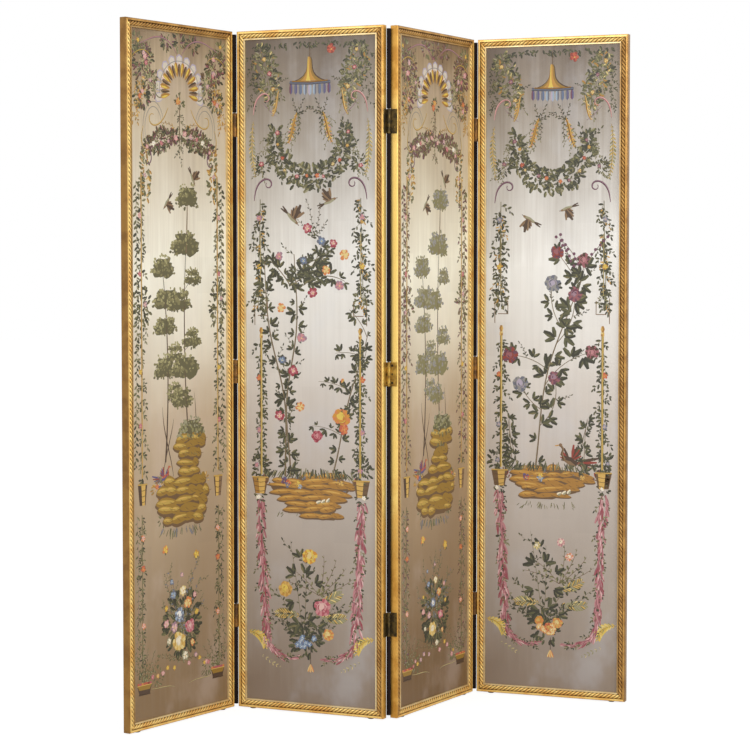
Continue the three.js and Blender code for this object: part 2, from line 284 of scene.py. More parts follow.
def silver_leaf(number):
    space = leaf_space[number]
    turn = math.atan2(space[1][0], space[0][0])
    finish = Finish(f"silver_leaf_{number}")

    def field(stretch, *noise):
        return finish.noise(finish.place(stretch, turn, space.translation), *noise)

    local = finish.place(turn=turn, origin=space.translation)
    height = finish.node("ShaderNodeSeparateXYZ", None, {0: local}, 2)
    across = finish.node("ShaderNodeSeparateXYZ", None, {0: local}, 0)
    strokes = field((90, 1, 2.2), 1.0, 5.0, 0.6)
    clouds = field((3, 1, 1.6), 1.6, 3.0, 0.55)
    bloom = field((5, 1, 3.4), 1.0, 4.0, 0.6)
    column = (across / LEAF_SQUARE).floor()
    row = (height / LEAF_SQUARE + column * SQUARE_STAGGER).floor()
    cell = finish.node("ShaderNodeCombineXYZ", None, {0: column, 1: row})
    square = finish.node("ShaderNodeTexWhiteNoise", {"noise_dimensions": "2D"}, {"Vector": cell})
    # Painted reflection: the ramp over the height paints a bright band of light at mid height, with tarnish
    # towards the top and the bottom.
    share = height / LEAF_TOP + (clouds - 0.5) * 0.2 + (strokes - 0.5) * 0.08
    stops = [(level, linear(*tone)) for level, tone in zip(SILVER_HEIGHTS, SILVER_FAMILY[number])]
    fresh = finish.ramp(share, stops[::-1])
    colour = finish.node("ShaderNodeGamma", None, {0: fresh, 1: SILVER_GAMMA[number]})
    colour = finish.mix(bloom.between(0.5, 0.72) * 0.26, colour, linear(*SILVER_BLOOM[number]))
    colour = finish.mix(strokes.between(0.35, 0.75) * 0.13, colour, linear(*STROKE_TONE))
    colour = finish.mix(square * 0.07, colour, linear(*SQUARE_TONE))
    roughness = 0.34 + strokes * 0.2
    bump = finish.bump(strokes, 0.12, 0.0004)
    return finish.surface(Base_Color=colour, Metallic=0.25, Roughness=roughness, Normal=bump)


def dress(name, material):
    """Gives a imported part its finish."""
    mesh = frame["nodes"][name].data
    mesh.materials.clear()
    mesh.materials.append(material)


for number in LEAVES:
    dress(f"panel_{number}_front_board", silver_leaf(number))
print("silver leaf on", len(LEAVES), "boards")

# %% [markdown]
# ## Gold, lacquer, wood, brass and steel
# The gilding is leaf gold over a red-brown clay. It is bright on the crests, and the hollows of the rope
# carry dark toning that also paints in the shade which falls there. The rope mesh carries this toning and
# painted shade as a value at each vertex, so the shader can put the dark colour exactly where the carver's
# hollows are. Darker copies of the golds are painted shade, and a paler band at mid height on two edges is
# a painted highlight.

# %% Gilding and the plain finishes
HIGHLIGHT_FROM = (0.4, 0.7)
HIGHLIGHT_TO = (1.44, 1.72)


def gilding(name, bright, warm, hollow, mid_highlight=None):
    """Gold over clay. The optional paler tone is a painted highlight over the middle of the height."""
    finish = Finish(name)
    place = finish.place()
    toning = finish.node("ShaderNodeAttribute", {"attribute_name": "toning"}, output=2)
    patches = finish.noise(place, 26.0, 4.0, 0.6)
    specks = finish.noise(place, 420.0, 2.0, 0.5)
    colour = finish.mix(patches.between(0.38, 0.66), linear(*bright), linear(*warm))
    # Painted highlight: a paler band of gold over the middle of the height.
    if mid_highlight:
        height = finish.node("ShaderNodeSeparateXYZ", None, {0: place}, 2)
        reach = height + (patches - 0.5) * 0.5
        highlight_share = reach.between(*HIGHLIGHT_FROM) * (1 - reach.between(*HIGHLIGHT_TO))
        colour = finish.mix(highlight_share, colour, linear(*mid_highlight))
    colour = finish.mix(specks.between(0.62, 0.76) * 0.45, colour, linear(*hollow))
    # Dark toning and painted shade in the rope's hollows and in its channel.
    colour = finish.mix(toning, colour, linear(*hollow))
    roughness = 0.3 + patches * 0.12 + toning * 0.3
    bump = finish.bump(specks, 0.2, 0.0002)
    return finish.surface(Base_Color=colour, Metallic=0.45, Roughness=roughness, Normal=bump)


def black_lacquer():
    finish = Finish("black_lacquer")
    clouds = finish.noise(finish.place((3, 3, 3)), 2.0, 4.0, 0.55)
    dust = finish.noise(finish.place(), 260.0, 2.0, 0.5)
    colour = finish.mix(clouds.between(0.35, 0.7), linear(30, 26, 26), linear(44, 36, 34))
    roughness = 0.24 + clouds * 0.12 + dust * 0.08
    bump = finish.bump(clouds, 0.15, 0.0006)
    return finish.surface(Base_Color=colour, Roughness=roughness, Normal=bump, Coat_Weight=0.3)


def bare_wood():
    finish = Finish("bare_wood")
    grain = finish.noise(finish.place((6, 60, 160)), 1.0, 5.0, 0.6)
    colour = finish.mix(grain.between(0.3, 0.7), linear(178, 140, 98), linear(138, 100, 64))
    bump = finish.bump(grain, 0.2, 0.0003)
    return finish.surface(Base_Color=colour, Roughness=0.6 + grain * 0.15, Normal=bump)


def aged_brass(name, clean, patina):
    finish = Finish(name)
    stains = finish.noise(finish.place(), 60.0, 4.0, 0.6)
    grit = finish.noise(finish.place(), 700.0, 2.0, 0.5)
    colour = finish.mix(stains.between(0.36, 0.62), linear(*clean), linear(*patina))
    roughness = 0.3 + stains * 0.3
    bump = finish.bump(grit, 0.15, 0.0001)
    return finish.surface(Base_Color=colour, Metallic=0.8, Roughness=roughness, Normal=bump)


def dull_steel():
    finish = Finish("pin_steel")
    scratches = finish.noise(finish.place((300, 300, 40)), 1.0, 3.0, 0.6)
    colour = finish.mix(scratches, linear(128, 124, 120), linear(84, 80, 78))
    bump = finish.bump(scratches, 0.15, 0.0001)
    return finish.surface(Base_Color=colour, Metallic=0.9, Roughness=0.36, Normal=bump)


# A near-black finish for the beads, which stand in for the shade in the gaps between the leaves.
def gap_shade_finish():
    finish = Finish("gap_shade_finish")
    fine_noise = finish.noise(finish.place(), 900.0, 3.0, 0.7)
    drift = finish.noise(finish.place((1, 1, 0.4)), 6.0, 2.0, 0.5)
    colour = finish.mix(fine_noise * 0.6 + drift * 0.4, linear(16, 10, 10), linear(42, 32, 32))
    bump = finish.bump(fine_noise, 0.5, 0.0004)
    return finish.surface(Base_Color=colour, Roughness=0.95, Normal=bump, Specular_IOR_Level=0.15)


# The darker second gold of each kind is the same gilding as painted shade, and the edge gold with the paler
# band carries a painted highlight at mid height.
rope_gold = gilding("rope_gold", (255, 218, 132), (238, 184, 96), (78, 42, 8))
rope_gold_shaded = gilding("rope_gold_shaded", (204, 156, 82), (168, 120, 54), (70, 40, 10))
edge_gold = gilding("edge_gold", (220, 170, 78), (196, 140, 52), (112, 66, 20))
edge_gold_shaded = gilding("edge_gold_shaded", (156, 114, 52), (132, 92, 38), (84, 54, 22))
edge_gold_lit = gilding("edge_gold_lit", (224, 172, 80), (198, 142, 54), (120, 76, 28), (252, 216, 124))
sight_gold = gilding("sight_gold", (236, 212, 158), (222, 190, 132), (160, 112, 56))
sight_gold_shaded = gilding("sight_gold_shaded", (186, 150, 92), (160, 122, 70), (110, 76, 36))
lacquer = black_lacquer()
wood = bare_wood()
ridge_brass = aged_brass("hinge_brass_dark", (104, 84, 44), (58, 48, 30))
bright_brass = aged_brass("hinge_brass_bright", (196, 158, 72), (140, 106, 46))
brown_brass = aged_brass("hinge_brass_brown", (134, 96, 50), (82, 60, 40))
steel = dull_steel()
gap_shade = gap_shade_finish()
print("finishes so far", len(bpy.data.materials))

# %% [markdown]
# ## Finishes for the imported parts that stay
# The boards, battens, hinge leaves and pins already have their true shape, so they keep their packed
# solids and only get their finish. The middle hinge on the outer fold is a brighter brass, its
# neighbours on that fold a dark olive brass, and the others a brown brass.

# %% Dress the imported parts
def brass_for(name):
    if name.startswith("hinge_2_3_middle"):
        return bright_brass
    if name.startswith("hinge_2_3"):
        return ridge_brass
    return brown_brass


for name in frame["nodes"]:
    if name.endswith("back_board"):
        dress(name, lacquer)
    elif name.endswith("batten"):
        dress(name, wood)
    elif name.endswith("pin"):
        dress(name, steel)
    elif name.startswith("hinge"):
        dress(name, brass_for(name))
print("dressed", sum(name.startswith("hinge") for name in frame["nodes"]), "hinge parts")

# %% [markdown]
# ## Pieces from meshes
# Every new piece is drawn in a leaf's own space, then moved to its place in the frame, so that its
# object can sit at the origin. One function does that for all of them.

# %% Making a piece
HAIR = 0.001 * MM


def as_mesh(bm, name):
    """Turns a body into a mesh and frees the body."""
    mesh = bpy.data.meshes.new(name)
    bm.to_mesh(mesh)
    bm.free()
    return mesh


def absorb(bm, mesh):
    """Takes a mesh into a body and removes the mesh."""
    bm.from_mesh(mesh)
    bpy.data.meshes.remove(mesh)


def add_copy(bm, mesh, place):
    """Takes a moved copy of a mesh into a body."""
    copy = mesh.copy()
    copy.transform(place)
    absorb(bm, copy)


def make_piece(name, body, bm, materials, space):
    bm.transform(space)
    mesh = as_mesh(bm, name)
    for material in materials:
        mesh.materials.append(material)
    piece = add_object(name, mesh)
    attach(piece, body)
    return piece


def polygon(bm, points):
    """A flat face from a few corners, in the order in which they are walked."""
    return bm.faces.new([bm.verts.new(point) for point in points])


def push(bm, faces, offset):
    """Extrudes faces into a closed body along an offset."""
    grown = bmesh.ops.extrude_face_region(bm, geom=faces, use_keep_orig=True)
    fresh = [item for item in grown["geom"] if isinstance(item, bmesh.types.BMVert)]
    bmesh.ops.translate(bm, vec=offset, verts=fresh)
    bmesh.ops.recalc_face_normals(bm, faces=bm.faces)


def cut_away(bm, point, normal):
    """Cuts off what lies beyond a plane, and closes the cut."""
    cut = bmesh.ops.bisect_plane(
        bm, geom=bm.verts[:] + bm.edges[:] + bm.faces[:], dist=HAIR / 10,
        plane_co=point, plane_no=normal, clear_outer=True,
    )
    edges = [item for item in cut["geom_cut"] if isinstance(item, bmesh.types.BMEdge)]
    bmesh.ops.holes_fill(bm, edges=edges, sides=0)


# %% [markdown]
# ## The moulding
# Each side of a leaf is one length of moulding, mitred at the corners. Its section has an outer fillet,
# a channel for the rope, a lower inner fillet that laps the painted board, and a tongue that runs between
# the two boards. The section is drawn once, extruded to length, and cut by two planes at 45 degrees.

# %% Section of the moulding
OUTER_FILLET = 6.5 * MM
ROPE_CHANNEL = 13.2 * MM
CHANNEL_DEPTH = 4.4 * MM
INNER_FILLET = 3.8 * MM
INNER_DROP = 2.4 * MM
ARRIS = 2.0 * MM
MITRE_GAP = 0.3 * MM
TONGUE_FRONT, TONGUE_BACK = (corner.y for corner in find_extent(2, "lower_batten"))
CHANNEL_END = OUTER_FILLET + ROPE_CHANNEL
SIGHT_EDGE = CHANNEL_END + INNER_FILLET


def cut_mitres(bm, length):
    """Cuts both ends at 45 degrees."""
    for height, normal in ((0.0, Vector((1, 0, -1))), (length, Vector((1, 0, 1)))):
        corner = Vector((0, 0, height)) - normal.normalized() * MITRE_GAP / 2
        cut_away(bm, corner, normal)


def member_body(length):
    bm = bmesh.new()
    section = [
        (0, 0), (OUTER_FILLET, 0), (OUTER_FILLET, CHANNEL_DEPTH), (CHANNEL_END, CHANNEL_DEPTH),
        (CHANNEL_END, INNER_DROP), (SIGHT_EDGE, INNER_DROP), (SIGHT_EDGE, TONGUE_FRONT),
        (MEMBER_WIDTH, TONGUE_FRONT), (MEMBER_WIDTH, TONGUE_BACK), (SIGHT_EDGE, TONGUE_BACK),
        (SIGHT_EDGE, LEAF_DEPTH), (0, LEAF_DEPTH),
    ]
    push(bm, [polygon(bm, [(x, y, 0) for x, y in section])], (0, 0, length))
    arrises = []
    for edge in bm.edges:
        first, second = edge.verts
        upright = abs(first.co.z - second.co.z) > length / 2
        if upright and first.co.x < HAIR:
            arrises.append(edge)
    bmesh.ops.bevel(
        bm, geom=arrises, offset=ARRIS, offset_type="OFFSET", affect="EDGES",
        segments=3, profile=0.5, material=-1,
    )
    cut_mitres(bm, length)
    return bm


print("moulding", round(SIGHT_EDGE / MM, 1), "mm from its outer edge to its sight edge")

# %% [markdown]
# ## The twisted rope
# A carver shapes the rope as four round strands with a slow left-hand twist. A circle is given four
# lobes and spun while it moves along its own axis, which is how a screw thread is made too. The rear of
# the rope is cut away where it sits in the channel. The dark value, toning and painted shade in one,
# follows the depth of the hollows.

# %% Rope
ROPE_RADIUS = (ROPE_CHANNEL ** 2 / 4 + CHANNEL_DEPTH ** 2) / (2 * CHANNEL_DEPTH)
ROPE_HOLLOW = 2.2 * MM
ROPE_PITCH = 46.4 * MM
ROPE_STRANDS = 4
ROPE_SIDES = 32
STEPS_PER_TURN = 18
ROPE_SEAT = 0.15 * MM


def lobed_radius(angle):
    lobe = abs(math.cos(angle * ROPE_STRANDS / 2)) ** 0.6
    return ROPE_RADIUS - ROPE_HOLLOW * (1 - lobe)


def rope_body(length):
    bm = bmesh.new()
    bmesh.ops.create_circle(bm, segments=ROPE_SIDES, radius=ROPE_RADIUS, cap_ends=True)
    for vertex in bm.verts:
        angle = math.atan2(vertex.co.y, vertex.co.x)
        vertex.co *= lobed_radius(angle) / ROPE_RADIUS
    turns = length / ROPE_PITCH
    steps = round(turns * STEPS_PER_TURN)
    bmesh.ops.spin(
        bm, geom=bm.faces[:], cent=(0, 0, 0), axis=(0, 0, 1), dvec=(0, 0, length / steps),
        angle=-turns * math.tau, steps=steps, use_duplicate=False,
    )
    # The dark value grows with the depth of the hollows: toning and painted shade in one.
    toning = bm.verts.layers.float.new("toning")
    for vertex in bm.verts:
        depth = ROPE_RADIUS - Vector(vertex.co.xy).length
        vertex[toning] = min(1.0, max(depth, 0.0) / ROPE_HOLLOW)
    bmesh.ops.recalc_face_normals(bm, faces=bm.faces)
    middle = (OUTER_FILLET + CHANNEL_END) / 2
    bmesh.ops.translate(bm, vec=(middle, ROPE_RADIUS, 0), verts=bm.verts)
    cut_away(bm, (0, CHANNEL_DEPTH + ROPE_SEAT, 0), (0, 1, 0))
    cut_mitres(bm, length)
    return bm


print("turns of the rope on a stile", round(LEAF_LENGTH / ROPE_PITCH, 1))

# %% [markdown]
# ## Four members to a leaf
# One long member and one short one are enough. Turning the long one half round about the middle of the
# leaf gives the other stile, and a quarter turn of the short one gives the rails. A turn, unlike a
# mirror, keeps the twist of the rope running the same way on all four sides, as stock cut from one
# length does.

# %% Members in place
SIGHT, BACK_LACQUER, EDGE = 1, 2, 3


def finish_faces(bm):
    """Gives each face its finish by where it lies on the section. 0 is the rope's own gold."""
    toning = bm.verts.layers.float.get("toning") or bm.verts.layers.float.new("toning")
    for face in bm.faces:
        centre = face.calc_center_median()
        if face.normal.y > 0.7 and centre.y > LEAF_DEPTH - ARRIS:
            face.material_index = BACK_LACQUER
        elif centre.x < ARRIS:
            face.material_index = EDGE
        elif centre.x > CHANNEL_END - 10 * HAIR:
            face.material_index = SIGHT
    # The channel behind the rope is set fully dark: painted shade where the rope shades it.
    for vertex in bm.verts:
        in_channel = OUTER_FILLET - HAIR < vertex.co.x < CHANNEL_END + HAIR
        if in_channel and vertex.co.y > INNER_DROP + 10 * HAIR:
            vertex[toning] = 1.0


def member(length):
    body = member_body(length)
    finish_faces(body)
    rope = rope_body(length)
    for face in rope.faces:
        face.smooth = True
    absorb(body, as_mesh(rope, "rope"))
    return as_mesh(body, "member")


def quarter_turn():
    """Takes the left member of a leaf to the bottom."""
    turn = Matrix.Rotation(math.radians(-90), 4, "Y")
    return Matrix.Translation((LEAF_WIDTH, 0, 0)) @ turn


def half_turn():
    middle = Matrix.Translation((LEAF_WIDTH / 2, 0, LEAF_LENGTH / 2))
    return middle @ Matrix.Rotation(math.pi, 4, "Y") @ middle.inverted()


stile_mesh = member(LEAF_LENGTH)
rail_mesh = member(LEAF_WIDTH)
lift = Matrix.Translation((0, 0, LEAF_BOTTOM))
MEMBERS = {
    "left_stile": (stile_mesh, lift),
    "right_stile": (stile_mesh, lift @ half_turn()),
    "bottom_rail": (rail_mesh, lift @ quarter_turn()),
    "top_rail": (rail_mesh, lift @ half_turn() @ quarter_turn()),
}
# Members that get painted shade in darker golds, and members whose edge gets a painted highlight.
SHADED_MEMBERS = ("panel_4_right_stile", "panel_1_top_rail", "panel_3_top_rail")
HIGHLIGHTED_MEMBERS = ("panel_2_right_stile", "panel_3_left_stile")


def gold_for(name):
    """Rope, sight edge, back and outer edge. Some members get darker golds as painted shade, and two edges a
    painted highlight at mid height.
    """
    if name in SHADED_MEMBERS:
        return [rope_gold_shaded, sight_gold_shaded, lacquer, edge_gold_shaded]
    if name == "panel_1_left_stile":
        return [rope_gold, sight_gold_shaded, lacquer, edge_gold_shaded]
    if name in HIGHLIGHTED_MEMBERS:
        return [rope_gold_shaded, sight_gold, lacquer, edge_gold_lit]
    return [rope_gold, sight_gold, lacquer, edge_gold]


for number in LEAVES:
    for side, (mesh, turn) in MEMBERS.items():
        bm = bmesh.new()
        bm.from_mesh(mesh)
        name = f"panel_{number}_{side}"
        space = leaf_space[number] @ turn
        piece = make_piece(f"{name}_gilt", f"panel_{number}", bm, gold_for(name), space)
        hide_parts(name)
print("stile faces", len(stile_mesh.polygons), "rail faces", len(rail_mesh.polygons))

# %% [markdown]
# ## Nail glides
# Each leaf stands on two domed steel glides, driven up into the bottom rail. A glide is a turned shape,
# so a half profile is spun round its axis.

# %% Glides
GLIDE_RADIUS = 9 * MM
GLIDE_FACE = 6.5 * MM
GLIDE_ROLL = 2 * MM
GLIDE_INSET = 40 * MM
GLIDE_BURIED = 0.4 * MM


def glide_body():
    bm = bmesh.new()
    top = LEAF_BOTTOM + GLIDE_BURIED
    roll = (GLIDE_RADIUS * 0.93, GLIDE_ROLL * 0.45)
    profile = [(0, 0), (GLIDE_FACE, 0), roll, (GLIDE_RADIUS, GLIDE_ROLL), (GLIDE_RADIUS, top), (0, top)]
    points = [bm.verts.new((radius, 0, height)) for radius, height in profile]
    edges = [bm.edges.new(pair) for pair in zip(points, points[1:])]
    bmesh.ops.spin(
        bm, geom=points + edges, cent=(0, 0, 0), axis=(0, 0, 1), angle=math.tau,
        steps=24, use_merge=True, use_duplicate=False,
    )
    bmesh.ops.remove_doubles(bm, verts=bm.verts, dist=1e-6)
    bmesh.ops.recalc_face_normals(bm, faces=bm.faces)
    return bm


glide = as_mesh(glide_body(), "glide")
for number in LEAVES:
    bm = bmesh.new()
    for x in (GLIDE_INSET, LEAF_WIDTH - GLIDE_INSET):
        add_copy(bm, glide, Matrix.Translation((x, LEAF_DEPTH / 2, 0)))
    name = f"panel_{number}_glides"
    make_piece(name, f"panel_{number}", bm, [steel], leaf_space[number])
print("glides", 2 * len(LEAVES))

# %% [markdown]
# ## Hinge screws
# Three slotted, countersunk screws hold each hinge leaf against the edge of a panel. The head is a short
# cone. Two cuts across its face free a narrow strip, and pushing that strip in makes the slot.

# %% Screws
SCREW_HEAD = 3.45 * MM
SCREW_NECK = 1.75 * MM
SCREW_DEPTH = 1.9 * MM
SLOT_WIDTH = 0.9 * MM
SLOT_DEPTH = 0.8 * MM
SLOT_ROOM = 0.02 * MM
SCREW_MARGIN = 9 * MM
PLATE_FACE = 2.7 * MM
SCREWS_SEED = 11


def screw_mesh():
    bm = bmesh.new()
    bmesh.ops.create_cone(
        bm, cap_ends=True, segments=16, radius1=SCREW_NECK, radius2=SCREW_HEAD, depth=SCREW_DEPTH
    )
    for side in (-1, 1):
        bmesh.ops.bisect_plane(
            bm, geom=bm.verts[:] + bm.edges[:] + bm.faces[:],
            plane_co=(side * SLOT_WIDTH / 2, 0, 0), plane_no=(1, 0, 0),
        )
    strip = []
    for face in bm.faces:
        centre = face.calc_center_median()
        if face.normal.z > 0.9 and abs(centre.x) < SLOT_WIDTH / 4:
            strip.append(face)
    bmesh.ops.inset_region(bm, faces=strip, thickness=SLOT_ROOM, depth=0)
    corners = list({vertex for face in strip for vertex in face.verts})
    bmesh.ops.translate(bm, vec=(0, 0, -SLOT_DEPTH), verts=corners)
    bmesh.ops.translate(bm, vec=(0, 0, -SCREW_DEPTH / 2), verts=bm.verts)
    return as_mesh(bm, "screw")


def screw_spots(number, side):
    """Heights of the screws on one edge of a leaf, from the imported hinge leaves."""
    heights = []
    for name in frame["nodes"]:
        if name.endswith(f"leaf_on_panel_{number}"):
            low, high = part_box(name)
            middle = leaf_space[number].inverted() @ ((low + high) / 2)
            if (middle.x > LEAF_WIDTH / 2) == (side > 0):
                heights += [low.z + SCREW_MARGIN, (low.z + high.z) / 2, high.z - SCREW_MARGIN]
    return heights


screw = screw_mesh()
screw_count = 0
draws = random.Random(SCREWS_SEED)
for number in LEAVES:
    bm = bmesh.new()
    for side in (-1, 1):
        x = LEAF_WIDTH + PLATE_FACE if side > 0 else -PLATE_FACE
        for height in screw_spots(number, side):
            turn = Matrix.Rotation(draws.uniform(0, math.pi), 4, "Z")
            tip = Matrix.Rotation(math.radians(90 * side), 4, "Y")
            spot = Matrix.Translation((x, (TONGUE_FRONT + TONGUE_BACK) / 2, height))
            add_copy(bm, screw, spot @ tip @ turn)
            screw_count += 1
    name = f"panel_{number}_screws"
    make_piece(name, f"panel_{number}", bm, [ridge_brass], leaf_space[number])
print("screws", screw_count)

# %% [markdown]
# ## Dark beads for the shade in the gaps
# The gaps between the leaves read as near-black lines of shade. A round dark bead stands in for that
# shade: it runs up the hinge axis, closes each gap, and stops short of every hinge. It is as thick as a
# hinge barrel, and because it lies on the axis itself it never presses on either leaf at any angle.

# %% Dark beads as painted shade in the gaps
BEAD_RADIUS = 5.6 * MM
BEAD_END = 8 * MM
HINGE_ROOM = 0.2 * MM


def hinge_spans(joint):
    spans = []
    for name in frame["nodes"]:
        if name.startswith(f"hinge_{joint}") and name.endswith("pin"):
            low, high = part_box(name)
            spans.append((low.z - HINGE_ROOM, high.z + HINGE_ROOM))
    return sorted(spans)


def gap_shade_beads(joint, body):
    """Round beads on the axis of one joint, between its hinges."""
    axis = next(item for item in frame["joints"] if item["name"] == f"fold_{joint}")["pos_m"]
    starts = [LEAF_BOTTOM + BEAD_END] + [high for low, high in hinge_spans(joint)]
    ends = [low for low, high in hinge_spans(joint)] + [LEAF_TOP - BEAD_END]
    bm = bmesh.new()
    for bottom, top in zip(starts, ends):
        spot = Matrix.Translation((axis[0], axis[1], (bottom + top) / 2))
        bmesh.ops.create_cone(
            bm, cap_ends=True, segments=20, radius1=BEAD_RADIUS, radius2=BEAD_RADIUS,
            depth=top - bottom, matrix=spot,
        )
    for face in bm.faces:
        face.smooth = abs(face.normal.z) < 0.5
    make_piece(f"{body}_gap_shade_bead_{joint}", body, bm, [gap_shade], Matrix.Identity(4))


for joint, body in (("1_2", "panel_2"), ("2_3", "panel_2"), ("3_4", "panel_3")):
    gap_shade_beads(joint, body)

# %% [markdown]
# ## Paints
# The ornament is painted in body colour over the silver, in many small touches of a few dozen tones.
# Each tone is a plain paint with a little brush texture. A painter gets shade by laying a light touch
# beside a dark one, so the tones stay flat and the touches do the work.

# %% Paints
TONES = {
    "pine": (56, 54, 40), "bottle": (72, 72, 50), "leaf": (92, 90, 60), "olive": (118, 110, 72),
    "moss": (140, 134, 90), "sage": (156, 150, 120), "thicket": (98, 92, 62), "foliage": (130, 122, 82),
    "sunlit": (164, 156, 110), "umber": (78, 58, 42), "bark": (108, 82, 54), "sepia": (132, 104, 74),
    "honey": (190, 140, 62), "gold": (208, 168, 88), "straw": (222, 198, 132), "ochre": (166, 120, 52),
    "amber": (204, 142, 52), "cream": (234, 222, 194), "chalk": (238, 232, 222), "lemon": (220, 190, 84),
    "orange": (208, 128, 72), "coral": (188, 92, 66), "brick": (144, 62, 48), "crimson": (152, 58, 70),
    "rose": (178, 90, 100), "pink": (200, 136, 138), "blush": (222, 180, 170), "plum": (108, 68, 84),
    "mauve": (156, 124, 136), "lilac": (176, 164, 180), "slate": (108, 110, 122), "smoke": (144, 140, 136),
    "blue": (96, 112, 142), "sky": (154, 170, 186), "violet": (92, 86, 124), "husk": (186, 128, 130),
    "husk_dark": (150, 92, 96), "husk_light": (222, 184, 180), "lichen": (150, 116, 46),
    "lichen_light": (186, 154, 74), "pearl": (208, 196, 178),
}


def paint(name, tone):
    finish = Finish(f"paint_{name}")
    bristles = finish.noise(finish.place(), 900.0, 2.0, 0.6)
    bump = finish.bump(bristles, 0.25, 0.0001)
    return finish.surface(Base_Color=linear(*tone), Roughness=0.5, Normal=bump)


PAINTS = {name: paint(name, tone) for name, tone in TONES.items()}
print("paints", len(PAINTS))

# %% [markdown]
# ## The touches of the brush
# A painter of ornament uses a few kinds of touch again and again: a pointed leaf, a round petal, a dot,
# a ragged patch, a rounded ledge and a long tapered line. All but the line are small meshes, each made
# from a disc that is pinched and raised a tenth of a millimetre, like thick paint. Discs keep the face
# count low, because each touch is stamped hundreds of times.

# %% Stamps
SUNK = 0.05
RELIEF = 0.07
LAYER_STEP = 0.04


def disc_stamp(segments, outline, crest):
    """A raised disc of one unit's length whose outline and crest are shaped by two functions."""
    bm = bmesh.new()
    disc = bmesh.ops.create_circle(bm, segments=segments, radius=0.5, cap_ends=True)
    for vertex in disc["verts"]:
        angle = math.atan2(vertex.co.y, vertex.co.x)
        vertex.co.xy = outline(angle)
    push(bm, bm.faces[:], (0, 0, 1))
    top = [face for face in bm.faces if face.calc_center_median().z > 0.9]
    poked = bmesh.ops.poke(bm, faces=top)
    for vertex in poked["verts"]:
        vertex.co = crest
    for face in bm.faces:
        face.material_index = 0 if face.calc_center_median().y > 0 else 1
    bmesh.ops.recalc_face_normals(bm, faces=bm.faces)
    return as_mesh(bm, "stamp")


def pointed(angle):
    return (0.5 + 0.5 * math.cos(angle), 0.24 * math.sin(angle))


def rounded(angle):
    x = 0.5 + 0.5 * math.cos(angle)
    return (x, math.sin(angle) * (0.12 + 0.24 * x))


def round_dot(angle):
    return (0.5 * math.cos(angle), 0.5 * math.sin(angle))


def ragged(angle):
    reach = 0.5 * (1 + 0.13 * math.sin(3 * angle + 0.6) + 0.08 * math.sin(5 * angle))
    return (reach * math.cos(angle), reach * math.sin(angle))


def ledge_edge(angle):
    rise = math.sin(angle)
    swell = 1 + 0.12 * math.cos(3 * angle + 0.4)
    sag = 1.0 if rise > 0 else 0.7
    return (0.5 * math.cos(angle), 0.5 * rise * abs(rise) ** 0.3 * swell * sag)


STAMPS = {
    "leaf": disc_stamp(6, pointed, (0.45, 0, 1.25)),
    "ledge": disc_stamp(14, ledge_edge, (-0.1, 0.1, 1.05)),
    "petal": disc_stamp(8, rounded, (0.55, 0, 1.2)),
    "dot": disc_stamp(8, round_dot, (0, 0, 1.3)),
    "patch": disc_stamp(14, ragged, (0.05, 0.05, 1.05)),
}
print("stamps", ", ".join(STAMPS))

# %% [markdown]
# ## A leaf's painting
# Each of the screen's leaves gets one painting, drawn flat in millimetres: u to the right from the middle
# line, v up from the floor and w out of the board. Lines are kept as curve splines, whose radius at each
# point gives the brush pressure, and are flattened when they become a mesh. A loop over both sides draws
# the second half of a symmetrical ornament mirrored, with its own small accidents.

# %% Painting class
LINE_FLATNESS = 0.06
EVEN = (1, 1, 1)


